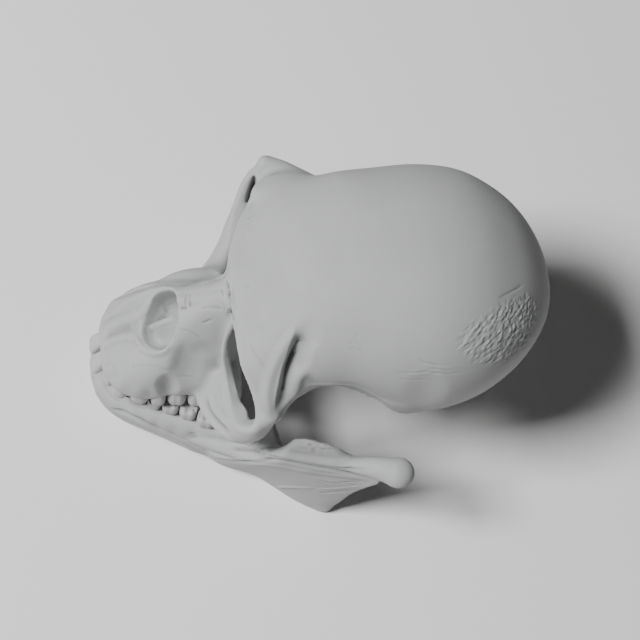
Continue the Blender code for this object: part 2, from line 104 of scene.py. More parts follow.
# The flared roots of the lost cheek arches on the braincase
TEMPLE_WALL = ((28.5, 38, -11), (33, 46, -11), (35.4, 54, -12), (35.8, 63, -13), (33, 75, -15))
TEMPLE_EDGE = ((27.0, 39, -21.5), (31.4, 48, -23), (34.9, 55.2, -26.4), (33.0, 65, -29), (30.6, 77, -34))
TEMPLE_THICKNESS = (3.4, 4.0, 4.4, 4.2, 3.4)
RIGHT_TEMPLE_SHIFT = -4.5

# Snout: station y, then the half section from the roof over the flank to the palate
SNOUT = (
    (-40, ((0, -43.2), (4, -43.4), (6.8, -44.4), (7.8, -46), (6.4, -47.3), (0, -47.6))),
    (-36.5, ((0, -39.2), (6.5, -39.4), (12, -41.8), (14.4, -45), (12.5, -47.6), (0, -47.8))),
    (-31, ((0, -33.6), (7.5, -32.6), (14.4, -36), (17.6, -43.5), (16.2, -47.6), (0, -47))),
    (-25, ((0, -27.5), (9, -24.6), (16.4, -32), (18.6, -42.5), (17.4, -47.6), (0, -46))),
    (-18, ((0, -14.2), (7.4, -15.6), (16, -28), (18.8, -38.5), (16.4, -47.6), (0, -45))),
    (-11, ((0, -8), (5.6, -9.6), (15.6, -26.5), (19.6, -37.5), (16.9, -47.6), (0, -44))),
    (-4, ((0, -2.6), (5.4, -5.6), (15.6, -26.5), (20.6, -36.5), (17.9, -47.6), (0, -44))),
    (1.5, ((0, 0), (5, -4.6), (15.2, -28.5), (20.8, -37), (18.6, -47.6), (0, -44))),
    (5.5, ((0, -34), (5, -35), (13.5, -37), (20.5, -39), (21, -47), (0, -44))),
)
# The nasal opening's edge in the photograph's pixels, once round from its top
NOSE_EDGE = (
    (175, 294), (170, 290), (161, 291), (153, 296), (149, 306), (145, 317), (141, 330), (143, 340),
    (150, 348), (160, 350), (168, 344), (173, 335), (177, 320), (178, 306),
)
NOSE_INWARD = (0.4, 9, -10)  # from the opening to the floor of the recess
NOSE_SHALLOW = 0.22  # depth at its lower left edge as a share of that at its upper right edge, in the picture
NOSE_DEEP_SIDE = (0.5, 0.86)  # towards the deepest edge: shares of the picture's right and up
# Stages of the recess: share of the way inwards, and size as a share of the opening
NOSE_FUNNEL = ((-0.6, 1.05), (0, 1.0), (0.5, 0.93), (0.85, 0.8), (1, 0.6))

# The margins of the orbits, once round from beside the root of the nose
LEFT_MARGIN = (
    (8.6, 1.7, -4), (15.5, 2.3, -2.3), (23.5, 3.0, -3), (31, 5.8, -7), (38, 7.2, -11), (41, 5.4, -15.5),
    (37.5, 2.0, -21.5), (30.2, 0.8, -26.5), (22.5, 0, -28.5), (16.6, -0.6, -25.5), (11.6, -1, -17.5),
    (9.2, 0.2, -9.5),
)
RIGHT_MARGIN = (
    (-7.5, 1.2, -4), (-14, 2.8, -2.3), (-23.5, 6.4, -3), (-32, 11, -6.5), (-41, 15, -9.5),
    (-46.3, 14.2, -13), (-43.7, 11.5, -18), (-37.2, 8.5, -23), (-29, 5.6, -27), (-20.5, 2.2, -27.8),
    (-13, -0.2, -20), (-9, 0.2, -11),
)
RIM_RADII = (1.6, 1.8, 1.8, 1.8, 1.9, 2.2, 2.7, 2.8, 2.6, 2.0, 1.5, 1.4)
LEFT_APEX = (13, 26, -18)
RIGHT_APEX = (-18, 29, -18)
# Stages of an orbit: share of the way to its apex, and size as a share of the margin
ORBIT_FUNNEL = ((0, 0.9), (0.14, 0.86), (0.4, 0.74), (0.75, 0.5), (1.0, 0.25))
# How far each hollow runs out in front of its margin
LEFT_LEAD = ((3.0, -8, 5.0), (0.6, -2.4, 1.2))
RIGHT_LEAD = ((-1.0, -8, 5.0), (-0.3, -2.4, 1.2))
LEAD_SIZE = 0.95  # size of those stretches as a share of the margin
# The dark gap at the outer end of the right orbit, as a line in the photograph's pixels
RIGHT_SLIT = ((255, 172), (254, 181), (251, 191), (248, 200), (245, 209))
RIGHT_SLIT_WIDTH = (0.3, 1.5, 1.9, 1.5, 0.3)
RIGHT_SLIT_CUT = (534, 553)  # distances from the camera between which the bone is cut, in millimetres
# The brow's front edge: these points of each margin, and one in the middle
BROW_RIM = (4, 3, 2, 1)
BROW_MIDDLE = (0, -0.6, 0)
BROW_BACK = (
    (35.5, 17, -11), (26, 22, 0), (17, 26, 7.4), (8, 28, 11.4), (-2, 28, 12.8),
    (-12, 28, 12.2), (-24, 30, 8), (-35.5, 31, 0.5), (-40, 34, -8),
)
BROW_THICKNESS = (4.6, 5, 5.4, 6, 6.4, 6, 5.4, 5, 5.5)
RIGHT_SADDLE_FRONT = ((-34, 16, -5), (-41, 17, -8.5), (-46.5, 18, -10))
RIGHT_SADDLE_BACK = ((-32, 34, 0), (-36, 38, -6), (-38, 42, -14))
SADDLE_THICKNESS = (5, 5, 4.5)
GLABELLA = ((0, 1.5, -2), (7, 3.5, 4))
LEFT_PILLAR = ((38.4, 10, -9), (38.9, 8.6, -16), (36.9, 8.4, -26))
RIGHT_PILLAR = ((-47, 17.5, -7.5), (-47.2, 16.5, -15), (-44, 15, -27))
PILLAR_RADII = (3.4, 2.9, 3.2)
LEFT_PILLAR_RADII = (3.3, 2.6, 2.6)
RIGHT_TEMPLE_RIDGE = ((-47, 15.5, -7.5), (-45.2, 22, -8), (-41.6, 30, -9), (-37.6, 37, -10))
RIDGE_RADII = (2.6, 3, 2.8, 2)
WALL_TOP = ((0, 1, -1), (0, 9, -1), (0, 17, -5))
WALL_FOOT = ((0, 2, -38), (0, 9, -30), (0, 16, -16))
WALL_THICKNESS = (9, 7, 5)
LEFT_CHEEK = (
    (19.5, -9, -43), (26.8, -7.4, -40), (33.2, -3.6, -38), (37.2, 2, -36.5), (37.2, 8, -31),
    (36.8, 12.5, -22),
)
RIGHT_CHEEK = (
    (-20.5, -5.5, -44), (-30, 3.5, -40), (-37.5, 8.5, -37), (-42, 13, -34), (-45, 16, -27),
    (-46.5, 17.5, -18),
)
CHEEK_RIM = (9, 8, 7, 6, 5, 4)
CHEEK_THICKNESS = (6.5, 6, 6.5, 7, 6.5, 4.5)
LEFT_CHEEK_ROOT = ((16.5, -1.2, -35), (8, 6, 8.5))
RIGHT_CHEEK_ROOT = ((-16.5, -0.4, -35), (8, 6, 8.5))
RIGHT_CHEEK_FRONT = ((-15.4, -6.5, -33), (4.6, 14, 12))
SADDLE_FILL = ((-33, 23, -4), (9, 13, 5.5))
TEMPLE_FILL = ((29, 19.8, -11), (4, 6, 4.5))
# The wall behind the outer end of the left orbit, and the broken tip on it
LEFT_WEB_TOP = ((38.2, 11, -9), (33.5, 15.6, -11), (29.6, 20, -10), (27, 25, -8))
LEFT_WEB_FOOT = ((38, 12, -19), (32.5, 16.6, -18), (28, 21, -17), (25, 26, -16))
WEB_THICKNESS = (4, 3.6, 3.6, 4)
BROKEN_TIP = ((37.6, 13.6, -12.5), (1.7, 1.4, 2.4))
PALATE = ((0, -13, -48.5), (10, 23, 8))
THROAT = ((0, 6, -31), (10.5, 12, 11))

# Mandible, left half
JAW_CREST = (
    (-1, -39, -61), (6, -38, -61), (11.5, -34.5, -61), (15.8, -28.5, -61), (18.6, -21, -60.6),
    (21.4, -12, -60.2), (24.6, -3, -59.5), (29, 6, -56), (33, 13, -52),
)
JAW_BASE = (
    (-1, -34.5, -87), (6, -33.5, -86.5), (11, -29.5, -84.5), (15, -23.5, -83), (19.4, -16.5, -82.5),
    (25, -7, -83), (29.4, 3, -84), (35, 12, -85.5), (40, 19, -86.5),
)
JAW_THICKNESS = (12, 12, 11, 10.5, 10.5, 11, 11, 8.5, 5)
RAMUS_TOP = (
    (26, -4, -65), (33, 1.5, -63), (38.4, 9, -54.5), (41.8, 15.5, -39.5), (41.9, 20.2, -28.6),
    (44, 29, -28.3), (45.6, 33.5, -30.5), (49, 44, -37.5), (52, 51, -38),
)
# The shelf behind the last molar, with its broken end
SHELF_TOP = ((26, -11, -66), (30, -3, -61), (32.4, 4.5, -55), (31.0, 11, -48.6), (30.2, 15.6, -44.2))
SHELF_FOOT = ((28, -11, -69), (33, -2.5, -65), (37.6, 3.4, -59.5), (40, 10, -53), (40.4, 18, -45.8))
SHELF_THICKNESS = (3, 4.4, 4, 3, 2)
RAMUS_FOOT = (
    (26, -5, -81), (29.8, 1, -83), (34.6, 12, -85.5), (40.8, 19, -87), (46.6, 26, -88), (50.7, 33, -87.8),
    (51.5, 38.5, -80), (51, 43, -64), (53, 49, -46),
)
RAMUS_THICKNESS = (7, 9, 7.5, 5.5, 4.8, 4.6, 4.6, 5, 6)
CONDYLE = ((47.4, 34, -41.5), (49.6, 40.5, -37), (51.5, 46.5, -34.6), (54, 53, -33.5))
CONDYLE_RADII = (1.2, 2.8, 3.8, 5)
CONDYLE_HEAD = (5.2, 5.4, 4.6)
RIGHT_SHARE = 0.93
BASE_Z = -86.0
GROUND_BLOCK = (160, 140, 30)  # what is cut away below the jaw's base

# Teeth from the front backwards: name and kind
TOOTH_NAMES = (
    ("central_incisor", "blade"), ("lateral_incisor", "blade"), ("canine", "point"),
    ("third_premolar", "crown"), ("fourth_premolar", "crown"),
    ("first_molar", "crown"), ("second_molar", "crown"), ("third_molar", "crown"),
)
# Width of each tooth along the row and across it, its outward lean from neck to rim, its outward shift
UPPER_SIZES = (
    (6.6, 5.4, 3.8, 0.2), (4.4, 4.8, 2.2, 0.1), (5.8, 6.4, 1.4, 1.1), (6.4, 7.6, 0.3, 0.6),
    (5.6, 7.8, 0.3, 0.3), (6.6, 8.4, 0.3, -0.7), (7.0, 8.8, 0.3, -1.0), (6.6, 8.2, 0.3, -0.6),
)
LOWER_SIZES = (
    (3.8, 4.8, 0.8, 0), (4.2, 5.0, 0.8, 0), (6.4, 6.6, 0.4, 0), (5.8, 5.6, 0.3, 0),
    (5.2, 6.2, 0.3, 0), (6.0, 6.8, 0.3, 0), (6.4, 7.2, 0.3, 0.3), (6.8, 7.0, 0.3, 1.8),
)
UPPER_TEETH = [(*tooth, *sizes) for tooth, sizes in zip(TOOTH_NAMES, UPPER_SIZES)]
LOWER_TEETH = [(*tooth, *sizes) for tooth, sizes in zip(TOOTH_NAMES, LOWER_SIZES)]
# The tooth rows on the left, from the middle backwards
UPPER_ROW = (
    (0, -38.6), (6, -37.8), (11.6, -33.6), (14.4, -27), (16.2, -19), (17.6, -10), (18.8, -1), (19.4, 8),
)
LOWER_ROW = (
    (0, -36.6), (4.5, -35.8), (9.6, -32.8), (13.8, -27), (16.8, -20), (19.8, -11), (22.6, -2), (25.2, 8),
)
# Heights of the necks, and of the crowns upwards from there
UPPER_NECK_Z = -46.5
LOWER_NECK_Z = -60.5
UPPER_CROWN = -6.8
LOWER_CROWN = 6.6
TOOTH_GAP = 0.3
ROW_STEPS = 12
# Bulges over the roots: where they start above the neck, how far they run upwards, and their height
UPPER_ROOTS = (1, 9, 0.35)
LOWER_ROOTS = (-1.5, -9, 0.25)
ROOT_OUTSIDE = 1  # how far outside the tooth its bulge is looked for, in millimetres
ROOT_WIDTH = 0.55  # as a share of the tooth's width
ROOT_FADE = 0.5


# Curves and solids

def catmull(points, steps, closed=False):
    """Points of a smooth curve through the given points."""
    pts = [Vector(p) for p in points]
    count = len(pts)
    spans = count if closed else count - 1
    curve = []
    for i in range(spans):
        p1, p2 = pts[i], pts[(i + 1) % count]
        p0 = pts[i - 1] if closed or i else p1 * 2 - p2
        p3 = pts[(i + 2) % count] if closed or i + 2 < count else p2 * 2 - p1
        for k in range(steps):
            t = k / steps
            curve.append(
                0.5 * ((p1 * 2) + (p2 - p0) * t + (p0 * 2 - p1 * 5 + p2 * 4 - p3) * t * t
                       + (p1 * 3 - p0 - p2 * 3 + p3) * t * t * t))
    if not closed:
        curve.append(pts[-1])
    return curve


def smooth_numbers(numbers, steps):
    return [v.x for v in catmull([(n, 0, 0) for n in numbers], steps)]


def mirrored(points, share=1.0):
    return [(-x * share, *rest) for x, *rest in points]


def skin_rings(bm, rings):
    """Joins closed rings of equal length into one closed shell, with a fan over each end."""
    loops = [[bm.verts.new(point) for point in ring] for ring in rings]
    count = len(loops[0])
    for first, second in zip(loops, loops[1:]):
        for i in range(count):
            j = (i + 1) % count
            bm.faces.new((first[i], first[j], second[j], second[i]))
    for loop, flip in ((loops[0], True), (loops[-1], False)):
        centre = bm.verts.new(sum((v.co for v in loop), Vector()) / count)
        for i in range(count):
            j = (i + 1) % count
            face = (loop[j], loop[i], centre) if flip else (loop[i], loop[j], centre)
            bm.faces.new(face)


def ellipse_ring(centre, across, up, count):
    ring = []
    for i in range(count):
        angle = 2 * math.pi * i / count
        ring.append(centre + across * math.cos(angle) + up * math.sin(angle))
    return ring


def add_ball(bm, centre, radii):
    place = Matrix.Translation(Vector(centre)) @ Matrix.Diagonal((*radii, 1))
    bmesh.ops.create_icosphere(bm, subdivisions=BALL_DIVISIONS, radius=1, matrix=place)


def frames_along(curve):
    """Centre, side and over directions at each point of a curve."""
    frames = []
    for i, centre in enumerate(curve):
        ahead = (curve[min(i + 1, len(curve) - 1)] - curve[max(i - 1, 0)]).normalized()
        side = ahead.cross(Vector((0, 0, 1)))
        if side.length < NEARLY_UPRIGHT:
            side = ahead.cross(Vector((0, 1, 0)))
        side.normalize()
        frames.append((centre, side, side.cross(ahead)))
    return frames


def squared(angle, power):
    c, s = math.cos(angle), math.sin(angle)
    return math.copysign(abs(c) ** power, c), math.copysign(abs(s) ** power, s)


def add_tube(bm, points, radii):
    sizes = smooth_numbers(radii, STEPS)
    rings = []
    for size, (centre, side, over) in zip(sizes, frames_along(catmull(points, STEPS))):
        rings.append(ellipse_ring(centre, side * size, over * size, TUBE_RING))
    skin_rings(bm, rings)


def add_band(bm, upper, lower, thickness):
    """Flat mass between two smooth curves, with rounded edges."""
    tops = catmull(upper, STEPS)
    feet = catmull(lower, STEPS)
    halves = [t / 2 for t in smooth_numbers(thickness, STEPS)]
    rings = []
    last = len(tops) - 1
    for i, (top, foot) in enumerate(zip(tops, feet)):
        after = min(i + 1, last)
        before = max(i - 1, 0)
        ahead = tops[after] + feet[after] - tops[before] - feet[before]
        rise = (top - foot) / 2
        out = ahead.cross(rise).normalized() * halves[i]
        ring = []
        for k in range(RING):
            across, along = squared(2 * math.pi * k / RING, EDGE_POWER)
            ring.append((top + foot) / 2 + out * across + rise * along)
        rings.append(ring)
    skin_rings(bm, rings)


def vault_rings(inset=0.0, first_y=0.0, last_y=math.inf):
    """Egg-shaped sections of the braincase between two places, drawn inwards by inset."""
    plan = catmull([(y, x, width) for y, x, width, *_ in VAULT], STEPS)
    profile = catmull([(top, wide, low) for *_, top, wide, low in VAULT], STEPS)
    rings = []
    for (y, x, width), (top, wide, low) in zip(plan, profile):
        if not first_y <= y <= last_y:
            continue
        half = width - inset
        ring = []
        for i in range(RING):
            across, rise = squared(2 * math.pi * i / RING, VAULT_POWER)
            reach = (top - wide if rise > 0 else wide - low) - inset
            ring.append(Vector((x - half * across, y, wide + reach * rise)))
        rings.append(ring)
    return rings


def add_snout(bm):
    sections = []
    for y, half in SNOUT:
        outline = [Vector((-x, y, z)) for x, z in half]
        outline += [Vector((x, y, z)) for x, z in reversed(half[1:-1])]
        sections.append(catmull(outline, SNOUT_STEPS, closed=True))
    lines = [catmull([section[i] for section in sections], STEPS) for i in range(len(sections[0]))]
    skin_rings(bm, [list(ring) for ring in zip(*lines)])


def add_brow(bm):
    front = [LEFT_MARGIN[k] for k in BROW_RIM] + [BROW_MIDDLE]
    front += [RIGHT_MARGIN[k] for k in reversed(BROW_RIM)]
    add_band(bm, front, BROW_BACK, BROW_THICKNESS)
    add_band(bm, RIGHT_SADDLE_FRONT, RIGHT_SADDLE_BACK, SADDLE_THICKNESS)
    add_ball(bm, *GLABELLA)


def add_cheek(bm, margin, border, root):
    add_tube(bm, (*margin, margin[0]), (*RIM_RADII, RIM_RADII[0]))
    add_band(bm, [margin[k] for k in CHEEK_RIM], border, CHEEK_THICKNESS)
    add_ball(bm, *root)


def add_pillars(bm):
    add_tube(bm, LEFT_PILLAR, LEFT_PILLAR_RADII)
    add_tube(bm, RIGHT_PILLAR, PILLAR_RADII)
    add_tube(bm, RIGHT_TEMPLE_RIDGE, RIDGE_RADII)
    add_band(bm, WALL_TOP, WALL_FOOT, WALL_THICKNESS)
    add_band(bm, LEFT_WEB_TOP, LEFT_WEB_FOOT, WEB_THICKNESS)
    add_ball(bm, *BROKEN_TIP)


def add_temple_roots(bm):
    add_band(bm, TEMPLE_WALL, TEMPLE_EDGE, TEMPLE_THICKNESS)
    wall = [(x + RIGHT_TEMPLE_SHIFT, y, z) for x, y, z in mirrored(TEMPLE_WALL)]
    edge = [(x + RIGHT_TEMPLE_SHIFT, y, z) for x, y, z in mirrored(TEMPLE_EDGE)]
    add_band(bm, wall, edge, TEMPLE_THICKNESS)


def cranium_masses(bm):
    skin_rings(bm, vault_rings())
    add_snout(bm)
    add_brow(bm)
    add_cheek(bm, LEFT_MARGIN, LEFT_CHEEK, LEFT_CHEEK_ROOT)
    add_cheek(bm, RIGHT_MARGIN, RIGHT_CHEEK, RIGHT_CHEEK_ROOT)
    for swelling in (RIGHT_CHEEK_FRONT, SADDLE_FILL, TEMPLE_FILL):
        add_ball(bm, *swelling)
    add_pillars(bm)
    add_temple_roots(bm)


def on_side(points, side):
    return points if side > 0 else mirrored(points, RIGHT_SHARE)


def mandible_masses(bm):
    for side in (1, -1):
        add_band(bm, on_side(JAW_CREST, side), on_side(JAW_BASE, side), JAW_THICKNESS)
        add_band(bm, on_side(RAMUS_TOP, side), on_side(RAMUS_FOOT, side), RAMUS_THICKNESS)
        add_band(bm, on_side(SHELF_TOP, side), on_side(SHELF_FOOT, side), SHELF_THICKNESS)
        add_tube(bm, on_side(CONDYLE, side), CONDYLE_RADII)
        add_ball(bm, on_side(CONDYLE, side)[-1], CONDYLE_HEAD)


def orbit_void(bm, margin, apex, leads):
    edge = catmull(margin, RIM_STEPS, closed=True)
    centre = sum(edge, Vector()) / len(edge)
    inwards = Vector(apex) - centre
    stages = [(Vector(lead), LEAD_SIZE) for lead in leads]
    stages += [(inwards * along, size) for along, size in ORBIT_FUNNEL]
    skin_rings(bm, [[centre + shift + (p - centre) * size for p in edge] for shift, size in stages])


def nose_void(bm, skin):
    edge = [Vector(spot[:3]) for spot in skin.seen(NOSE_EDGE, RIM_STEPS, closed=True)]
    centre = sum(edge, Vector()) / len(edge)
    deep_side = Vector(PICTURE_RIGHT * NOSE_DEEP_SIDE[0] + PICTURE_UP * NOSE_DEEP_SIDE[1])
    reach = [p.dot(deep_side) for p in edge]
    low, high = min(reach), max(reach)
    rings = []
    for along, size in NOSE_FUNNEL:
        ring = []
        for p in edge:
            depth = (p.dot(deep_side) - low) / (high - low)
            share = 1 if along < 0 else NOSE_SHALLOW + (1 - NOSE_SHALLOW) * depth
            ring.append(centre + (p - centre) * size + Vector(NOSE_INWARD) * (along * share))
        rings.append(ring)
    skin_rings(bm, rings)


def brain_void(bm):
    skin_rings(bm, vault_rings(VAULT_WALL, VOID_START, VOID_END))


def base_void(bm):
    """Everything below the broken lower border of the braincase, which is nicked all along."""
    top = catmull(BASE_BREAK, BASE_STEPS, closed=True)
    depth, fast, slow = NICKS
    small_depth, turning, start = SMALL_NICKS
    for i, p in enumerate(top):
        p.z += depth * math.sin(i * fast) * math.sin(i * slow) + small_depth * math.sin(i * turning + start)
    skin_rings(bm, [top, [p - Vector((0, 0, BREAK_DEPTH)) for p in top]])


def right_slit_void(bm):
    """A thin wedge along the camera's view."""
    near, far = [[Vector(pixel_point(p, away)) for p in RIGHT_SLIT] for away in RIGHT_SLIT_CUT]
    add_band(bm, near, far, RIGHT_SLIT_WIDTH)


def ground_void(bm):
    middle = Vector((0, 0, BASE_Z - GROUND_BLOCK[2] / 2))
    place = Matrix.Translation(middle) @ Matrix.Diagonal((*GROUND_BLOCK, 1))
    bmesh.ops.create_cube(bm, size=1, matrix=place)


def put(name, data):
    """A new object in the scene."""
    obj = bpy.data.objects.new(name, data)
    bpy.context.scene.collection.objects.link(obj)
    return obj


def object_from(name, build):
    mesh = bpy.data.meshes.new(name)
    bm = bmesh.new()
    build(bm)
    bmesh.ops.recalc_face_normals(bm, faces=bm.faces)
    bm.to_mesh(mesh)
    bm.free()
    return put(name, mesh)


def grow_together(bone, grain, softening):
    remesh = bone.modifiers.new("grow_together", "REMESH")
    remesh.mode = "VOXEL"
    remesh.voxel_size = grain
    smooth = bone.modifiers.new("soften", "SMOOTH")
    smooth.factor = SOFTENING_FACTOR
    smooth.iterations = softening


def baked(obj, name):
    """A new object with the modifiers of another applied; the other goes."""
    graph = bpy.context.evaluated_depsgraph_get()
    result = put(name, bpy.data.meshes.new_from_object(obj.evaluated_get(graph)))
    bpy.data.objects.remove(obj)
    return result


# Sculpting: strokes drawn over the photograph's frame land on the surface that the camera sees there

def to_pixels(points):
    ahead = points - EYE
    depth = -ahead @ TOWARDS_EYE
    half = FRAME_PIXELS / 2
    return np.stack((half + FOCAL_PIXELS * (ahead @ PICTURE_RIGHT) / depth,
                     half - FOCAL_PIXELS * (ahead @ PICTURE_UP) / depth), axis=1)


def pixel_ray(u, v):
    half = FRAME_PIXELS / 2
    ray = (PICTURE_RIGHT * (u - half) + PICTURE_UP * (half - v)) / FOCAL_PIXELS - TOWARDS_EYE
    return ray / np.linalg.norm(ray)


def pixel_point(pixel, away):
    """The point under a pixel at a distance from the camera, measured along its view."""
    ray = pixel_ray(*pixel)
    return EYE - ray * away / (ray @ TOWARDS_EYE)


def slanted(degrees):
    """Two directions in the picture plane, along and across a slant."""
    turn = math.radians(degrees)
    along = PICTURE_RIGHT * math.cos(turn) + PICTURE_UP * math.sin(turn)
    over = PICTURE_UP * math.cos(turn) - PICTURE_RIGHT * math.sin(turn)
    return along, over


def ease(x):
    x = np.clip(x, 0, 1)
    return x * x * (3 - 2 * x)


# Numbers that scatter the lattice's places and the seed
AXIS_PRIMES = (73856093, 19349663, 83492791)
SEED_PRIME = 2654435761
SCATTER_SHIFT = 13
SCATTER_PRIME = 1274126177
SCATTER_MASK = 0x7FFFFFFF
LEVELS = 10007
HALF_LEVELS = 5003.0


def lattice_noise(points, size, seed):
    """Smooth noise between -1 and 1 on a lattice with cells of that size."""
    p = points / size
    cell = np.floor(p).astype(np.int64)
    t = ease(p - cell)
    total = np.zeros(len(points))
    for corner in range(8):
        offset = np.array([corner >> k & 1 for k in range(3)])
        c = cell + offset
        mix = seed * SEED_PRIME
        for k, prime in enumerate(AXIS_PRIMES):
            mix = mix ^ (c[:, k] * prime)
        mix = (mix ^ (mix >> SCATTER_SHIFT)) * SCATTER_PRIME & SCATTER_MASK
        value = (mix % LEVELS) / HALF_LEVELS - 1
        total += value * np.prod(np.where(offset, t, 1 - t), axis=1)
    return total


LINE_STEP = 0.2  # spacing of a stroke's points as a share of its width
LINE_SMOOTHING = 3  # how many times a line's points are evened out
LARGEST_STEP = 3.0  # where two neighbouring points of a line lie further apart, the line ends
CHUNK = 4000  # points of the skin that are measured against a line at a time
CREST_POWER = 1.5  # how steeply a sharp crest falls off
END_START = 0.35  # what the ends of a stroke keep of its rise, before easing
FULL_FACING = 0.4  # cosine between a point's normal and the line's from which the point moves in full
LEAST_SHARE = 0.01  # points with a smaller share stay where they are
TINY = 1e-9  # keeps a division clear of zero


def evenly(line, spacing):
    """A line of points and normals with the same spacing all along, gently smoothed."""
    steps = np.linalg.norm(np.diff(line[:, :3], axis=0), axis=1)
    along = np.concatenate(([0], np.cumsum(steps)))
    count = max(3, int(along[-1] / spacing) + 2)
    wanted = np.linspace(0, along[-1], count)
    result = np.stack([np.interp(wanted, along, line[:, k]) for k in range(6)], axis=1)
    for _ in range(LINE_SMOOTHING):
        result[1:-1] = (result[:-2] + 2 * result[1:-1] + result[2:]) / 4
    result[:, 3:] /= np.linalg.norm(result[:, 3:], axis=1)[:, None] + TINY
    return result


def longest_run(spots):
    """The longest stretch of a line that has no leap in it."""
    spots = np.array(spots)
    leaps = np.nonzero(np.linalg.norm(np.diff(spots[:, :3], axis=0), axis=1) > LARGEST_STEP)[0] + 1
    return max(np.split(spots, leaps), key=len)


def read_rows(items, name, width, kind=float):
    """A property of all of a mesh's points or edges, as the rows of an array."""
    values = np.empty(len(items) * width, kind)
    items.foreach_get(name, values)
    return values.reshape(-1, width)


class Form:
    """The skin of one bone while it is being sculpted."""

    def __init__(self, obj):
        self.obj = obj
        self.load()

    def load(self):
        mesh = self.obj.data
        self.co = read_rows(mesh.vertices, "co", 3)
        self.edges = read_rows(mesh.edges, "vertices", 2, np.int32)
        self.refresh()

    def refresh(self):
        """Writes the points back and reads the normals and the search tree anew."""
        mesh = self.obj.data
        mesh.vertices.foreach_set("co", self.co.ravel())
        mesh.update()
        self.normal = read_rows(mesh.vertices, "normal", 3)
        bm = bmesh.new()
        bm.from_mesh(mesh)
        self.tree = BVHTree.FromBMesh(bm)
        bm.free()

    def refine(self, mask):
        """Halves the faces where the mask is set, so that finer relief can be drawn there."""
        self.refresh()
        mesh = self.obj.data
        bm = bmesh.new()
        bm.from_mesh(mesh)
        chosen = mask[self.edges].all(axis=1)
        bm.edges.ensure_lookup_table()
        edges = [bm.edges[i] for i in np.nonzero(chosen)[0]]
        bmesh.ops.subdivide_edges(bm, edges=edges, cuts=1, use_grid_fill=True)
        bm.to_mesh(mesh)
        bm.free()
        self.load()

    def relax(self, share, times):
        """Smooths the skin where the share is above 0."""
        moving = share > LEAST_SHARE
        index = np.nonzero(moving)[0]
        a, b = self.edges[moving[self.edges].any(axis=1)].T
        count = len(self.co)
        links = np.maximum(1, np.bincount(a, minlength=count) + np.bincount(b, minlength=count))[index]
        for _ in range(times):
            for k in range(3):
                value = self.co[:, k]
                total = np.bincount(a, value[b], count) + np.bincount(b, value[a], count)
                value[index] += share[index] * (total[index] / links - value[index])

    def seen(self, pixels, steps=6, closed=False):
        """Points and normals of the surface under a smooth line through the given pixels."""
        spots = []
        for p in catmull([(u, v, 0) for u, v in pixels], steps, closed):
            hit, normal, _, _ = self.tree.ray_cast(Vector(EYE), Vector(pixel_ray(p.x, p.y)))
            if hit is not None:
                spots.append((*hit, *normal))
        return np.array(spots) if closed else longest_run(spots)

    def near(self, points, steps=6):
        """Points and normals of the surface nearest to a smooth line through the given points."""
        spots = []
        for p in catmull(points, steps):
            hit, normal, _, _ = self.tree.find_nearest(p)
            spots.append((*hit, *normal))
        return longest_run(spots)

    def across(self, line, share):
        """The same line on the skull's other side, at a share of its distance from the midline."""
        return self.near([(-x * share, y, z) for x, y, z in line[:, :3]], 1)

    def stroke(self, line, height, width, crisp=0.0, lean=0.0, fade=0.25):
        """Raises or sinks the surface along a line.

        Crisp 1 gives a sharp crest and 0 a soft one. A lean above 0 makes the right side of the line's
        course steep and the left side wide; one below 0 does the opposite.
        """
        line = evenly(line, width * LINE_STEP)
        reach = width * (1 + abs(lean))
        low = line[:, :3].min(0) - reach
        high = line[:, :3].max(0) + reach
        index = np.nonzero(((self.co > low) & (self.co < high)).all(1))[0]
        if not len(index):
            return
        best = np.empty(len(index), np.int64)
        for start in range(0, len(index), CHUNK):
            away = self.co[index[start:start + CHUNK], None, :] - line[None, :, :3]
            best[start:start + CHUNK] = (away * away).sum(2).argmin(1)
        right = np.cross(np.gradient(line[:, :3], axis=0), line[:, 3:])
        away = self.co[index] - line[best, :3]
        on_right = (away * right[best]).sum(1) > 0
        t = np.linalg.norm(away, axis=1) / (width * np.where(on_right, 1 - lean, 1 + lean))
        facing = np.clip((self.normal[index] * line[best, 3:]).sum(1) / FULL_FACING, 0, 1)
        keep = (t < 1) & (facing > 0)
        index, best, t, facing = index[keep], best[keep], t[keep], facing[keep]
        rise = crisp * (1 - t) ** CREST_POWER + (1 - crisp) * (1 - ease(t))
        ends = np.minimum(best, len(line) - 1 - best) / max(1, len(line) - 1)
        rise *= facing * ease(END_START + ends / fade)
        self.co[index] += line[best, 3:] * (height * rise)[:, None]

    def pull(self, centre, shift, radius):
        """Draws the surface round a point along by a shift."""
        away = np.linalg.norm(self.co - np.array(centre), axis=1)
        index = np.nonzero(away < radius)[0]
        share = (1 - (away[index] / radius) ** 2) ** 2
        self.co[index] += share[:, None] * np.array(shift)

    def press(self, pixel, height, length, width, slant=0.0):
        """Raises or sinks an oval round the surface under a pixel, its long axis at a slant in degrees."""
        spot = self.seen((pixel, pixel), 1)[0]
        along, over = slanted(slant)
        away = self.co - spot[:3]
        square = (away @ along / length) ** 2 + (away @ over / width) ** 2
        square += (away @ TOWARDS_EYE / (2 * max(length, width))) ** 2
        index = np.nonzero(square < 1)[0]
        facing = np.clip((self.normal[index] @ spot[3:]) / FULL_FACING, 0, 1)
        share = (1 - square[index]) ** 2 * facing
        self.co[index] += share[:, None] * spot[3:] * height

    def roughen(self, mask, size, depth, seed):
        """Moves the surface in and out by noise where the mask allows."""
        index = np.nonzero(mask > LEAST_SHARE)[0]
        noise = lattice_noise(self.co[index], size, seed)
        self.co[index] += self.normal[index] * (noise * depth * mask[index])[:, None]


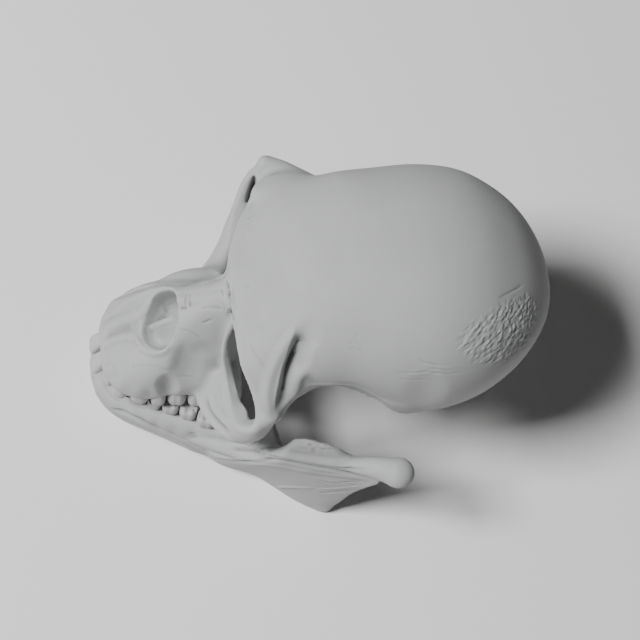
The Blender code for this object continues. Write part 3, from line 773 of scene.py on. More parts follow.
def carved(name, masses, voids, softening):
    """Masses fused into one skin, hollows cut into it, and the whole drawn finely again."""
    first_softening, last_softening = softening
    bone = object_from(name, masses)
    grow_together(bone, ROUGH_GRAIN, first_softening)
    bone = baked(bone, name)
    skin = Form(bone)
    cutters = []
    for label, build in voids:
        cutter = object_from(label, lambda bm: build(bm, skin))
        cut = bone.modifiers.new(label, "BOOLEAN")
        cut.operation = "DIFFERENCE"
        cut.solver = "MANIFOLD"
        cut.object = cutter
        cutters.append(cutter)
    grow_together(bone, FINE_GRAIN, last_softening)
    bone = baked(bone, name)
    for cutter in cutters:
        bpy.data.objects.remove(cutter)
    return bone


def store_painted_shade(form):
    """Stores for the material how deep each point of the skin lies in a hollow, where its colour is darkened
    as painted shade.
    """
    start = form.co.copy()
    form.relax(np.ones(len(start)), PAINTED_SHADE_STEPS)
    depth = np.clip(((form.co - start) * form.normal).sum(1) / PAINTED_SHADE_DEPTH, 0, 1)
    form.co = start
    form.obj.data.attributes.new("painted_shade_depth", "FLOAT", "POINT").data.foreach_set("value", depth)


def finish_bone(form, name):
    """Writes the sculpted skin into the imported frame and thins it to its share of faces."""
    form.refresh()
    store_painted_shade(form)
    form.obj.data.vertices.foreach_set("co", ((form.co + TO_ROW) * MM).ravel())
    form.obj.data.update()
    count = sum(len(p.vertices) - 2 for p in form.obj.data.polygons)
    if count > MOST_FACES:
        thin = form.obj.modifiers.new("thin_out", "DECIMATE")
        thin.ratio = MOST_FACES / count
        form.obj = baked(form.obj, name)
    form.obj.name = name
    form.obj.data.name = name
    form.obj.data.shade_smooth()
    return form.obj


# Strokes: line in the photograph's pixels, height and width in millimetres, crispness, lean (0 if left out)
BROW_STROKES = (
    # the left orbit's rim: a thin crest that falls steeply into the orbit
    (((229, 329), (225, 340), (223, 355), (225, 370), (227, 382), (229, 394), (231, 405),
      (232, 411)), 0.6, 1.9, 0.4, 0.45),
    # a scratch over the right brow
    (((246, 219), (249, 221), (254, 217)), 0.25, 0.8, 0.8),
)
CHEEK_STROKES = (
    # two ridges with a groove between them
    (((210, 392), (212, 403), (215, 411), (222, 419), (230, 427)), 0.6, 2.6, 0.1),
    (((205, 398), (208, 408), (213, 416), (220, 424), (228, 431)), -0.8, 2.2),
    (((198, 395), (201, 405), (206, 415), (212, 423), (220, 431), (229, 438),
      (236, 442)), 0.7, 1.8, 0.3, 0.2),
)
SNOUT_STROKES = (
    # the pillar over the canine
    (((175, 330), (173, 345), (170, 358), (166, 370)), 0.45, 4.6, 0.0, -0.2),
    # crack, nick and faint lines on the flank
    (((180, 330), (188, 331), (194, 334), (201, 338)), -0.2, 0.7, 0.6),
    (((203, 323), (208, 321), (212, 320)), -0.3, 0.8, 0.6),
    (((176, 377), (186, 376), (195, 377)), -0.12, 0.6, 0.6),
    # long ridges from the teeth to the nasal opening, their grooves and small nicks
    (((104, 329), (112, 325), (120, 322), (130, 319), (140, 316), (147, 308)), 0.55, 2.6, 0.2, 0.3),
    (((107, 320), (118, 314), (130, 309), (140, 304)), -0.35, 3.2),
    (((119, 304), (133, 298), (150, 291), (165, 288), (175, 289)), 0.6, 2.2, 0.3),
    (((116, 299), (127, 294), (138, 290), (150, 287)), -0.5, 1.5, 0.2),
    (((124, 291), (140, 287), (160, 282)), 0.3, 1.5, 0.3),
    (((106, 337), (118, 331), (132, 327)), -0.35, 2.4),
    (((105, 343), (114, 339), (125, 336), (136, 337)), 0.35, 2.0, 0.2),
    (((105, 347), (107, 351)), -0.2, 0.8, 0.4),
    (((113, 365), (115, 369)), -0.2, 0.8, 0.4),
    (((133, 366), (135, 368)), -0.2, 0.8, 0.4),
    (((137, 366), (149, 366), (160, 366)), -0.12, 0.6, 0.8),
    # the raised rim of the nasal opening
    (((136, 336), (140, 342), (147, 350), (156, 353), (165, 350), (171, 343)), 0.7, 1.4, 0.5, -0.3),
    (((137, 347), (143, 350), (149, 353)), 0.3, 0.7, 0.6),
    (((139, 325), (142, 312), (147, 300)), 0.3, 1.6, 0.2),
)
NOSE_STROKES = (
    # the nasal bones: ridge, ledge, end block and the edge on their right
    (((223, 297), (211, 297), (200, 298), (190, 298)), 0.6, 2.4, 0.2),
    (((222, 309), (212, 308), (200, 308)), -0.35, 1.2, 0.3, -0.3),
    (((178, 300), (187, 300)), 1.0, 2.8),
    (((190, 293), (190, 300), (190, 307)), -0.4, 0.9, 0.6),
    (((177, 308), (187, 308)), -0.35, 1.0, 0.5),
    (((200, 284), (212, 281), (224, 277)), 0.4, 1.4, 0.4, 0.3),
    (((182, 286), (200, 279), (217, 271)), -0.7, 3.6),
    # broken bits at their root
    (((226, 280), (228, 290), (229, 300), (231, 311), (234, 318)), -0.8, 1.1, 0.6),
    (((232, 287), (232, 298), (235, 310)), 0.35, 0.8, 0.7),
    (((224, 301), (227, 306), (227, 313)), 0.5, 0.9, 0.7),
    (((221, 290), (224, 296)), -0.3, 0.7, 0.6),
    # the ledge across the nasal opening
    (((149, 328), (158, 324), (167, 320), (176, 316)), 0.8, 1.5, 0.4, -0.2),
)
TEMPLE_STROKES = (
    # the hollow behind the temporal line: steep in front and wide behind
    (((303, 333), (299, 343), (294, 356), (289, 370), (286, 385), (283, 400),
      (282, 411)), -2.8, 4.2, 0.0, 0.35),
    # the temporal line on the left
    (((269, 420), (268, 405), (267, 395), (269, 382), (273, 369), (279, 356), (286, 344), (294, 333),
      (302, 322)), 0.7, 3.0, 0.1, 0.2),
)
VAULT_STROKES = (
    (((248, 345), (255, 356), (263, 368)), 0.3, 0.7, 0.9),
    (((243, 286), (251, 286)), -0.15, 0.6, 0.8),
    (((499, 298), (511, 292), (523, 285)), -0.2, 0.7, 0.8),
    (((418, 359), (428, 363), (438, 365)), -0.14, 0.7, 0.6),
    (((424, 365), (438, 367), (452, 368)), 0.14, 0.7, 0.6),
    (((430, 372), (445, 374), (458, 373)), -0.14, 0.7, 0.6),
    (((396, 373), (410, 373), (424, 372)), -0.12, 0.7, 0.6),
    (((400, 379), (414, 380), (426, 379)), -0.12, 0.7, 0.6),
    # the thin bright edge of the broken border and the fold at its corner
    (((308, 385), (320, 384), (336, 384), (352, 385), (368, 391), (384, 400), (396, 407)), 0.35, 1.0, 0.4),
)
JAW_STROKES = (
    # the tooth-bearing band, the crease below it and the bright outer band
    (((104, 378), (106, 387), (110, 394), (115, 399), (122, 403)), -0.35, 1.1, 0.4),
    (((112, 409), (125, 413), (140, 420), (160, 429), (180, 438), (195, 445)), -1.2, 2.2, 0.1, -0.2),
    (((130, 417), (145, 425), (162, 434), (180, 443), (200, 453)), 0.7, 2.0, 0.2),
    (((192, 432), (195, 439)), -0.4, 2.6),
    # the oblique line that runs up into the ramus, and the groove inside it
    (((204, 453), (225, 457), (245, 458), (262, 458), (272, 454), (283, 448)), 0.8, 2.0, 0.4, 0.2),
    (((232, 450), (248, 451), (262, 450), (276, 447)), -0.7, 1.8, 0.2),
    (((243, 443), (249, 446), (257, 441)), -0.4, 0.9, 0.7),
)
RAMUS_STROKES = (
    # the outer face of the ramus: groove, ridge, ledge and streaks
    (((262, 452), (276, 453), (290, 455), (306, 458), (324, 461), (345, 464),
      (362, 467)), 1.5, 2.6, 0.2, 0.55),
    (((262, 459), (285, 461), (306, 465), (328, 469), (350, 473), (368, 475)), -1.3, 1.8, 0.0, -0.3),
    (((244, 464), (262, 464), (285, 467), (305, 471), (335, 475), (362, 478), (382, 480)), 0.4, 2.4, 0.1),
    (((277, 487), (292, 487), (312, 488)), 0.45, 1.4, 0.5, 0.3),
    (((316, 480), (332, 483), (352, 482)), -0.3, 0.9, 0.5),
    (((318, 489), (336, 488), (360, 486)), 0.3, 0.8, 0.5),
    (((320, 493), (340, 492), (356, 490)), -0.35, 0.8, 0.5),
    # the thin upper edge of the coronoid and the step behind it
    (((287, 444), (292, 441), (300, 440), (309, 441), (320, 445), (335, 448), (346, 452)), 0.4, 1.2, 0.4),
)
# Broad dents and swellings: pixel, height, length, width (all in millimetres), slant in degrees
CRANIUM_DENTS = (
    ((186, 364), -1.0, 10.0, 6.5, 80),
    ((167, 386), -1.6, 6.0, 4.6, 75),
    ((203, 350), -0.5, 5.0, 4.0, 0),
    ((128, 362), 0.6, 9.0, 8.0, 0),
    ((124, 331), -0.5, 7.0, 2.6, 15),
    ((208, 262), -0.6, 6.0, 3.0, 35),
    ((298, 360), -1.4, 9.0, 4.5, 72),
    ((426, 392), -0.9, 8.0, 10.0, 0),
    ((310, 255), 0.7, 12.0, 16.0, 0),
)
JAW_DENTS = (((326, 476), -0.5, 9.0, 2.5, -4),)
# Patches of rough surface: outline in pixels, length and width of the grain, its slant in degrees, depth
CRANIUM_PATCHES = (
    (((450, 338), (462, 322), (486, 308), (508, 294), (530, 288), (543, 300), (545, 322), (533, 348),
      (508, 370), (474, 368), (454, 354)), 1.7, 0.75, 35, 0.26),
    (((343, 326), (362, 326), (372, 344), (360, 360), (346, 352)), 1.0, 0.8, 30, 0.16),
    (((277, 186), (293, 184), (293, 200), (278, 202)), 1.0, 0.8, 30, 0.14),
    (((410, 354), (462, 362), (470, 378), (436, 384), (394, 384), (390, 370)), 3.0, 0.8, -6, 0.09),
    (((322, 362), (350, 364), (350, 374), (322, 372)), 2.0, 0.8, 0, 0.1),
    (((221, 280), (239, 283), (240, 319), (229, 323), (221, 306)), 1.1, 0.9, 60, 0.3),
    (((154, 300), (176, 298), (176, 318), (154, 326)), 1.3, 0.8, 25, 0.22),
)
JAW_PATCHES = ((((312, 476), (374, 476), (370, 494), (345, 503), (312, 502)), 3.0, 0.8, 2, 0.14),)
PATCH_FADE = 12  # pixels over which a rough patch fades in from its outline
PATCH_FACING = 0.05  # only skin turned to the photograph's camera by more than this cosine is roughened
FINER_NOISE = (0.4, 0.5, 50)  # strength and size as shares of the first noise's, and what its seed adds
HARD_STROKE = 0.5  # strokes at least as crisp as this aren't drawn on the other side
OTHER_SIDE_DEPTH = 0.5  # height of a stroke on the other side as a share of the first
OUTLINE_FADE = 6  # pixels over which smoothing fades in from its outline
WIDE_FADE = 10
NEARNESS = 1.4  # above 1, so that the points close round a centre count in full


def inside(points, outline):
    """Which pixels lie inside an outline."""
    x, y = points[:, 0], points[:, 1]
    result = np.zeros(len(points), bool)
    for (x1, y1), (x2, y2) in zip(outline, outline[1:] + outline[:1]):
        crosses = (y1 > y) != (y2 > y)
        result ^= crosses & (x < (x2 - x1) * (y - y1) / (y2 - y1 + TINY) + x1)
    return result


def edge_distance(points, outline):
    """Distance in pixels from an outline."""
    nearest = np.full(len(points), np.inf)
    for a, b in zip(outline, outline[1:] + outline[:1]):
        a, b = np.array(a, float), np.array(b, float)
        t = np.clip(((points - a) @ (b - a)) / ((b - a) @ (b - a)), 0, 1)
        nearest = np.minimum(nearest, np.linalg.norm(points - a - t[:, None] * (b - a), axis=1))
    return nearest


def rough_patches(form, patches):
    fine_share, fine_size, fine_seed = FINER_NOISE
    pixels = to_pixels(form.co)
    facing = form.normal @ TOWARDS_EYE > PATCH_FACING
    for seed, (outline, length, width, slant, depth) in enumerate(patches):
        here = np.nonzero(facing & inside(pixels, outline))[0]
        fade = ease(edge_distance(pixels[here], outline) / PATCH_FADE)
        along, over = slanted(slant)
        spots = form.co[here]
        grain = np.stack((spots @ along / length, spots @ over / width, spots @ TOWARDS_EYE / width), axis=1)
        noise = lattice_noise(grain, 1, seed)
        noise = noise + fine_share * lattice_noise(grain, fine_size, seed + fine_seed)
        form.co[here] += form.normal[here] * (depth * noise * fade)[:, None]


def draw(form, strokes, other_side=0.0):
    """Draws the strokes, and the soft ones also on the other side at a share of the midline distance."""
    for pixels, height, width, *shape in strokes:
        crisp, lean = (*shape, 0.0, 0.0)[:2]
        line = form.seen(pixels)
        form.stroke(line, height, width, crisp, lean)
        if other_side and crisp < HARD_STROKE:
            form.stroke(form.across(line, other_side), height * OTHER_SIDE_DEPTH, width, crisp, -lean)
    form.refresh()


def dent(form, dents):
    for pixel, *measures in dents:
        form.press(pixel, *measures)
    form.refresh()


def within(form, outline, fade=OUTLINE_FADE):
    """How far each point that faces the photograph's camera lies within an outline of its pixels, up to 1."""
    pixels = to_pixels(form.co)
    share = np.zeros(len(pixels))
    here = np.nonzero((form.normal @ TOWARDS_EYE > 0) & inside(pixels, outline))[0]
    share[here] = ease(edge_distance(pixels[here], outline) / fade)
    return share


def around(form, centre, radius):
    """Nearness of each point to a centre: 1 there and 0 from the radius on."""
    return ease(NEARNESS - np.linalg.norm(form.co - np.array(centre), axis=1) / radius * NEARNESS)


def smooth_places(form, places):
    for centre, radius, times in places:
        form.relax(around(form, centre, radius), times)


def smooth_outlines(form, outlines):
    for outline, times, *fade in outlines:
        form.relax(within(form, outline, *fade), times)


def root_bulges(form, rows, teeth, neck_z, roots):
    """Soft bulges of the bone over the roots of a jaw's teeth."""
    start, run, height = roots
    for side, row in rows.items():
        for (centre, _, out), (_, _, width, depth, *_) in zip(row_places(row, teeth, side), teeth):
            spot = centre + out * (depth / 2 + ROOT_OUTSIDE)
            line = [(spot.x, spot.y, neck_z + start + run * share) for share in (0, 0.5, 1)]
            form.stroke(form.near(line), height, width * ROOT_WIDTH, fade=ROOT_FADE)


# Outlines in pixels within which the skin is drawn twice as finely
FACE_OUTLINE = ((85, 320), (110, 280), (200, 255), (240, 160), (262, 150), (262, 330), (306, 316), (306, 425),
                (240, 450), (85, 410))
PATCH_OUTLINE = ((385, 350), (450, 330), (490, 290), (550, 280), (550, 330), (510, 380), (440, 395),
                 (385, 390))
JAW_OUTLINE = ((85, 360), (200, 400), (300, 430), (420, 450), (420, 490), (325, 520), (220, 470), (85, 420))
# Outlines in pixels within which it is smoothed
SADDLE_OUTLINE = ((238, 262), (250, 214), (256, 178), (264, 163), (296, 163), (330, 166), (345, 186),
                  (305, 214), (276, 262))
NOSE_SIDE_OUTLINE = ((168, 304), (180, 300), (196, 312), (192, 338), (174, 350), (160, 342))
CORNER_OUTLINE = ((222, 388), (240, 392), (246, 416), (262, 412), (278, 422), (258, 444), (234, 448),
                  (222, 430))
# The two ends of the hollow behind the temporal line
HOLLOW_ENDS = (
    ((290, 314), (318, 312), (324, 346), (304, 352), (294, 338)),
    ((277, 388), (294, 388), (296, 414), (274, 416)),
)
RIGHT_RIM_OUTLINE = ((180, 262), (212, 226), (240, 158), (262, 158), (258, 200), (236, 262), (222, 284),
                     (184, 284))


REFINED_SMOOTHING = 2  # how many times the finely drawn skin is smoothed
# Those that are smoothed: outline, times and, where it isn't the usual one, the fade
SOFT_RIMS = ((RIGHT_RIM_OUTLINE, 10, WIDE_FADE), (SADDLE_OUTLINE, 200, WIDE_FADE))
SOFT_FACE = ((FACE_OUTLINE, REFINED_SMOOTHING), (NOSE_SIDE_OUTLINE, 140), (CORNER_OUTLINE, 60))
SOFT_HOLLOW = [(outline, 50) for outline in HOLLOW_ENDS]
# Places that are drawn along: centre, shift and radius
CRANIUM_PULLS = (((31, 38, -16), (-1.3, 0, 0), 14), ((33, 3, -23.5), (-0.3, 1.0, 0.3), 6))
JAW_PULL = ((51.6, 36, -84), (1.0, 0.4, -0.6), 6)
# Places that are smoothed: centre, radius and times
SOFT_CRANIUM = (
    ((-18, -3, -34), 22, 80), ((30, 21, -11), 11, 80), ((33, 77, -25), 13, 60), ((-37.5, 77, -25), 13, 60),
)
SOFT_SADDLE = ((-38, 29, -6), 16, 45)
SOFT_CONDYLE = ((48.4, 37.5, -35), 6, 10)
# The broken base: how far its faces turn down, how far back it starts and its top, with soft starts
BROKEN_TURN = 0.4
BROKEN_TURN_FADE = 0.3
BROKEN_FRONT = 14
BROKEN_TOP = -14
BROKEN_TOP_FADE = 2
# Roughness: size of the grain, depth and seed
BROKEN_GRAINS = ((0.9, 0.25, 91), (2.2, 0.2, 92))
CORONOID_GRAIN = (1.3, 0.22, 93)
CORONOID_EDGE = ((44, 27, -27), 9)  # centre and radius


def sculpt_cranium(form):
    for pull in CRANIUM_PULLS:
        form.pull(*pull)
    form.refresh()
    smooth_places(form, SOFT_CRANIUM)
    smooth_outlines(form, SOFT_RIMS)
    smooth_places(form, [SOFT_SADDLE])
    form.refine(within(form, FACE_OUTLINE) + within(form, PATCH_OUTLINE) > 0)
    smooth_outlines(form, SOFT_FACE)
    form.refresh()
    dent(form, CRANIUM_DENTS)
    draw(form, TEMPLE_STROKES)
    smooth_outlines(form, SOFT_HOLLOW)
    form.refresh()
    draw(form, BROW_STROKES)
    draw(form, CHEEK_STROKES, 1.0)
    for strokes in (SNOUT_STROKES, NOSE_STROKES, VAULT_STROKES):
        draw(form, strokes)
    root_bulges(form, UPPER_ROWS, UPPER_TEETH, UPPER_NECK_Z, UPPER_ROOTS)
    rough_patches(form, CRANIUM_PATCHES)
    turned_down = ease((-form.normal[:, 2] - BROKEN_TURN) / BROKEN_TURN_FADE)
    low = ease((BROKEN_TOP - form.co[:, 2]) / BROKEN_TOP_FADE)
    broken = turned_down * (form.co[:, 1] > BROKEN_FRONT) * low
    for grain in BROKEN_GRAINS:
        form.roughen(broken, *grain)


def sculpt_mandible(form):
    form.pull(*JAW_PULL)
    smooth_places(form, [SOFT_CONDYLE])
    form.refine(within(form, JAW_OUTLINE) > 0)
    smooth_outlines(form, [(JAW_OUTLINE, REFINED_SMOOTHING)])
    form.refresh()
    dent(form, JAW_DENTS)
    draw(form, JAW_STROKES, RIGHT_SHARE)
    draw(form, RAMUS_STROKES, RIGHT_SHARE)
    root_bulges(form, LOWER_ROWS, LOWER_TEETH, LOWER_NECK_Z, LOWER_ROOTS)
    rough_patches(form, JAW_PATCHES)
    form.roughen(around(form, *CORONOID_EDGE), *CORONOID_GRAIN)
    form.co[:, 2] = np.maximum(form.co[:, 2], BASE_Z)


# Teeth

# Each jaw's rows by side: 1 is the left and -1 the right
UPPER_ROWS = {1: UPPER_ROW, -1: mirrored(UPPER_ROW)}
LOWER_ROWS = {1: LOWER_ROW, -1: mirrored(LOWER_ROW, RIGHT_SHARE)}


def row_places(row, teeth, side):
    """Centre, direction along the row and outward direction for each tooth."""
    curve = catmull([(x, y, 0) for x, y in row], ROW_STEPS)
    places = []
    start = 0.0
    for _, _, width, *_ in teeth:
        wanted = start + width / 2
        walked = 0.0
        for a, b in zip(curve, curve[1:]):
            length = (b - a).length
            if walked + length >= wanted:
                along = (b - a).normalized()
                out = Vector((along.y * side, -along.x * side, 0))
                places.append((a + along * (wanted - walked), along, out))
                break
            walked += length
        start += width
    return places


# Height above the neck as a share of the crown, width along and across as shares of the tooth's own
TOOTH_SHAPES = {
    "blade": ((-0.5, 0.5, 0.55), (-0.2, 0.7, 0.74), (0.0, 0.82, 0.82), (0.2, 0.9, 0.86), (0.45, 0.97, 0.8),
              (0.7, 1.0, 0.68), (0.88, 1.0, 0.54), (0.97, 0.97, 0.44), (1.0, 0.9, 0.34)),
    "point": ((-0.55, 0.5, 0.55), (-0.2, 0.74, 0.76), (0.0, 0.88, 0.88), (0.2, 0.98, 0.98), (0.45, 1.0, 1.0),
              (0.7, 0.9, 0.9), (0.88, 0.7, 0.7), (1.0, 0.44, 0.44)),
    "crown": ((-0.55, 0.55, 0.55), (-0.2, 0.8, 0.78), (0.0, 0.88, 0.88), (0.22, 0.96, 0.97),
              (0.45, 1.0, 1.02), (0.7, 0.99, 0.98), (0.86, 0.95, 0.9), (0.96, 0.88, 0.8), (1.02, 0.78, 0.68)),
}
TOOTH_SIDES = 40
ROUNDNESS = {"blade": 0.62, "point": 0.85, "crown": 0.72}  # 1 gives a round outline, less a squarer one
MOLAR_WAIST = 0.07  # narrowing halfway along a tooth, as a share of its width
OTHER_WAIST = 0.02
WAIST_LENGTH = 0.22  # as a share of half the tooth's length
WOBBLE = 0.03  # how far an outline may differ from its neighbour's, as a share
WOBBLE_TURN = 2.3
WOBBLE_LOBES = 3
INNER_RINGS = (0.84, 0.66, 0.48, 0.3, 0.12)
# Cusps of a crown: place along and across, both as shares of the half width, and height in millimetres
MOLAR_CUSPS = ((0.42, 0.44, 1.3), (-0.44, 0.44, 1.2), (0.42, -0.44, 1.2), (-0.46, -0.4, 1.0))
CUSPS = {
    "first_molar": MOLAR_CUSPS,
    "second_molar": MOLAR_CUSPS,
    "third_molar": ((0.42, 0.42, 1.3), (-0.44, 0.4, 1.1), (0.42, -0.42, 1.2), (-0.4, -0.36, 0.8)),
    "fourth_premolar": ((0.05, 0.46, 1.5), (0, -0.46, 1.2)),
    "third_premolar": ((0.05, 0.44, 1.8), (0, -0.5, 0.9)),
}
CUSP_SPREAD = 0.13
HIGHEST_CUSP = 1.35
FISSURE = 1.15  # depth of the surface between the cusps
DOME = 0.5  # rise of a biting surface without cusps
RIM_RISE = 0.8  # share of the surface's rise at its outermost ring


def biting_height(name, x, y):
    """How far the biting surface stands above the crown's rim, at a place between -1 and 1 each way."""
    if name not in CUSPS:
        return DOME * (1 - x * x - y * y)
    high = sum(h * math.exp(-((x - cx) ** 2 + (y - cy) ** 2) / CUSP_SPREAD) for cx, cy, h in CUSPS[name])
    return min(high, HIGHEST_CUSP) - FISSURE


def tooth_outline(name, kind, wobble):
    """Places round a crown, along and across it, as shares of its half widths."""
    waist = MOLAR_WAIST if name.endswith("_molar") else OTHER_WAIST
    outline = []
    for k in range(TOOTH_SIDES):
        angle = 2 * math.pi * k / TOOTH_SIDES
        a, b = squared(angle, ROUNDNESS[kind])
        narrowing = 1 - waist * math.exp(-(a / WAIST_LENGTH) ** 2)
        outline.append((a * (1 + wobble * math.sin(WOBBLE_LOBES * angle)), b * narrowing))
    return outline


def tooth_mesh(bm, place, tooth, neck_z, height, wobble):
    """One tooth: rings up to its biting rim, then rings inwards over its cusps."""
    centre, along, out = place
    name, kind, width, depth, lean, shift = tooth
    centre = centre + out * shift
    up = math.copysign(1, height)
    half_wide = (width - TOOTH_GAP / 2) / 2
    half_deep = depth / 2
    outline = tooth_outline(name, kind, wobble)
    rings = []
    for share, wide, deep in TOOTH_SHAPES[kind]:
        middle = Vector((centre.x, centre.y, neck_z + height * share)) + out * (lean * share)
        ring = []
        for a, b in outline:
            ring.append(middle + along * (half_wide * wide * a) + out * (half_deep * deep * b))
        rings.append(ring)
    rings.pop()
    for size in (1.0, *INNER_RINGS):
        ring = []
        for a, b in outline:
            x, y = a * wide * size, b * deep * size
            rise = biting_height(name, x, y) * (1 if size < 1 else RIM_RISE) * up
            ring.append(middle + along * (half_wide * x) + out * (half_deep * y) + Vector((0, 0, rise)))
        rings.append(ring)
    skin_rings(bm, rings)


def build_teeth(jaw, rows, teeth, neck_z, height, material):
    for side, side_name in ((1, "left"), (-1, "right")):
        for place, tooth in zip(row_places(rows[side], teeth, side), teeth):
            node = f"{jaw}_{side_name}_{tooth[0]}"
            wobble = WOBBLE * math.sin(len(node) * WOBBLE_TURN + side)
            piece = object_from(
                f"{node}_crown", lambda bm: tooth_mesh(bm, place, tooth, neck_z, height, wobble))
            piece.data.transform(Matrix.Diagonal((MM, MM, MM, 1)) @ Matrix.Translation(Vector(TO_ROW)))
            round_off = piece.modifiers.new("round_off", "SUBSURF")
            round_off.levels = 1
            round_off.render_levels = 1
            piece.data.shade_smooth()
            piece.data.materials.append(material)
            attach(piece, "root")
            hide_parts(node)


# Materials

def socket(sockets, identifier):
    return next(s for s in sockets if s.identifier == identifier)


def new_material(name):
    """A material, its node tree and the inputs of its shader."""
    material = bpy.data.materials.new(name)
    material.use_nodes = True
    return material, material.node_tree, material.node_tree.nodes["Principled BSDF"].inputs


def noise(tree, scale, detail, place=None):
    node = tree.nodes.new("ShaderNodeTexNoise")
    node.inputs["Scale"].default_value = scale
    node.inputs["Detail"].default_value = detail
    if place is not None:
        tree.links.new(place, node.inputs["Vector"])
    return node.outputs["Fac"]


def blended(tree, factor, stops):
    """A blend of colours by a factor; each stop has its position and its colour."""
    ramp = tree.nodes.new("ShaderNodeValToRGB")
    for element, (position, colour) in zip(ramp.color_ramp.elements, stops):
        element.position = position
        element.color = (*colour, 1)
    tree.links.new(factor, ramp.inputs["Fac"])
    return ramp.outputs["Color"]


# Scale and detail of the noises
MOTTLING = (45, 4)
GLOSS_NOISE = (160, 3)
GRAIN_NOISE = (1400, 3)
FLOOR_NOISE = (6, 3)
MOTTLE_STOPS = ((0.3, 0.96), (0.7, 1.03))  # position and share of the colour
FLOOR_STOPS = ((0, (0.83, 0.83, 0.825)), (1, (0.87, 0.87, 0.865)))
FLOOR_ROUGHNESS = 0.9
SPECULAR = 0.3
PAINTED_HOLLOW_SHADE = (0.25, 0.25, 0.25, 1)  # painted shade: what the colour is multiplied by where a hollow is deepest
SMOOTHER = 0.05
ROUGHER = 0.06
GRAIN_DEPTH = 0.0002
# Colour, roughness and strength of the grain
BONE_LOOK = ((0.39, 0.395, 0.395), 0.72, 0.25)
ENAMEL_LOOK = ((0.415, 0.42, 0.415), 0.55, 0.1)


def bone_material(name, colour, roughness, grain_strength):
    """Matt grey stone with faint mottling, painted shade darkening its hollows, and a fine grain."""
    material, tree, shader = new_material(name)
    nodes, links = tree.nodes, tree.links
    shader["Metallic"].default_value = 0
    shader["Specular IOR Level"].default_value = SPECULAR
    place = nodes.new("ShaderNodeTexCoord").outputs["Object"]
    stops = [(position, [c * share for c in colour]) for position, share in MOTTLE_STOPS]
    mottled = blended(tree, noise(tree, *MOTTLING, place), stops)
    # painted shade: the colour is multiplied darker by how deep the skin lies in a hollow
    painted_shade_depth = nodes.new("ShaderNodeAttribute")
    painted_shade_depth.attribute_name = "painted_shade_depth"
    painted_shade = nodes.new("ShaderNodeMix")
    painted_shade.data_type = "RGBA"
    painted_shade.blend_type = "MULTIPLY"
    socket(painted_shade.inputs, "B_Color").default_value = PAINTED_HOLLOW_SHADE
    links.new(painted_shade_depth.outputs["Fac"], socket(painted_shade.inputs, "Factor_Float"))
    links.new(mottled, socket(painted_shade.inputs, "A_Color"))
    links.new(socket(painted_shade.outputs, "Result_Color"), shader["Base Color"])
    gloss = nodes.new("ShaderNodeMapRange")
    gloss.inputs["To Min"].default_value = roughness - SMOOTHER
    gloss.inputs["To Max"].default_value = roughness + ROUGHER
    links.new(noise(tree, *GLOSS_NOISE, place), gloss.inputs["Value"])
    links.new(gloss.outputs["Result"], shader["Roughness"])
    bump = nodes.new("ShaderNodeBump")
    bump.inputs["Strength"].default_value = grain_strength
    bump.inputs["Distance"].default_value = GRAIN_DEPTH
    links.new(noise(tree, *GRAIN_NOISE, place), bump.inputs["Height"])
    links.new(bump.outputs["Normal"], shader["Normal"])
    return material


def floor_material():
    material, tree, shader = new_material("pale_floor")
    shader["Roughness"].default_value = FLOOR_ROUGHNESS
    tree.links.new(blended(tree, noise(tree, *FLOOR_NOISE), FLOOR_STOPS), shader["Base Color"])
    return material


# Camera, light and floor

FAR_CLIP = 20
SKY_STRENGTH = 0.06
# The key light: its direction's shares of the picture's up and left, what it shines at, and its measures
KEY_UP = 0.24
KEY_LEFT = 0.60
KEY_TARGET = (0, 40, -20)
KEY_DISTANCE = 1.6
KEY_SIZE = 0.45
KEY_POWER = 41
FLOOR_REACH = 3


def row_point(p):
    return Vector((np.array(p) + TO_ROW) * MM)


def add_camera():
    data = bpy.data.cameras.new("photo_view")
    data.angle = FIELD_OF_VIEW
    data.clip_end = FAR_CLIP
    camera = put("photo_view", data)
    turn = Matrix((PICTURE_RIGHT, PICTURE_UP, TOWARDS_EYE)).transposed().to_4x4()
    camera.matrix_world = Matrix.Translation(row_point(EYE)) @ turn
    bpy.context.scene.camera = camera


def add_key_light():
    data = bpy.data.lights.new("key", "AREA")
    data.size = KEY_SIZE
    data.energy = KEY_POWER
    light = put("key", data)
    towards = Vector(TOWARDS_EYE + PICTURE_UP * KEY_UP - PICTURE_RIGHT * KEY_LEFT).normalized()
    light.location = row_point(KEY_TARGET) + towards * KEY_DISTANCE
    light.rotation_euler = towards.to_track_quat("Z", "Y").to_euler()


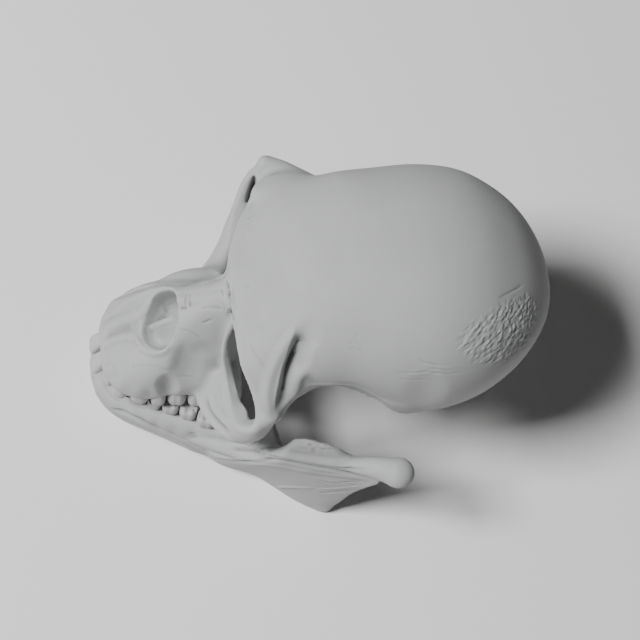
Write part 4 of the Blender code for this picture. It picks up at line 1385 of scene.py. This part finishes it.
def add_studio():
    world = bpy.data.worlds.new("studio")
    bpy.context.scene.world = world
    world.use_nodes = True
    background = world.node_tree.nodes["Background"]
    background.inputs["Color"].default_value = (1, 1, 1, 1)
    background.inputs["Strength"].default_value = SKY_STRENGTH
    add_key_light()
    floor = object_from(
        "floor", lambda bm: bmesh.ops.create_grid(bm, x_segments=1, y_segments=1, size=FLOOR_REACH))
    floor.data.materials.append(floor_material())


def dress_bone(obj, node, material):
    obj.data.materials.clear()
    obj.data.materials.append(material)
    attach(obj, "root")
    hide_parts(node)


def main():
    bone = bone_material("fossil_bone", *BONE_LOOK)
    enamel = bone_material("fossil_enamel", *ENAMEL_LOOK)
    cranium_voids = (
        ("left_orbit_void", lambda bm, skin: orbit_void(bm, LEFT_MARGIN, LEFT_APEX, LEFT_LEAD)),
        ("right_orbit_void", lambda bm, skin: orbit_void(bm, RIGHT_MARGIN, RIGHT_APEX, RIGHT_LEAD)),
        ("brain_void", lambda bm, skin: brain_void(bm)),
        ("base_void", lambda bm, skin: base_void(bm)),
        ("nose_void", nose_void),
        ("right_slit_void", lambda bm, skin: right_slit_void(bm)),
        ("palate_void", lambda bm, skin: add_ball(bm, *PALATE)),
        ("throat_void", lambda bm, skin: add_ball(bm, *THROAT)),
    )
    cranium = Form(carved("cranium_skin", cranium_masses, cranium_voids, CRANIUM_SOFTENING))
    sculpt_cranium(cranium)
    dress_bone(finish_bone(cranium, "cranium_skin"), "cranium", bone)
    mandible_voids = (("ground_void", lambda bm, skin: ground_void(bm)),)
    mandible = Form(carved("mandible_skin", mandible_masses, mandible_voids, MANDIBLE_SOFTENING))
    sculpt_mandible(mandible)
    dress_bone(finish_bone(mandible, "mandible_skin"), "mandible", bone)
    build_teeth("upper", UPPER_ROWS, UPPER_TEETH, UPPER_NECK_Z, UPPER_CROWN, enamel)
    build_teeth("lower", LOWER_ROWS, LOWER_TEETH, LOWER_NECK_Z, LOWER_CROWN, enamel)
    add_studio()
    add_camera()


main()
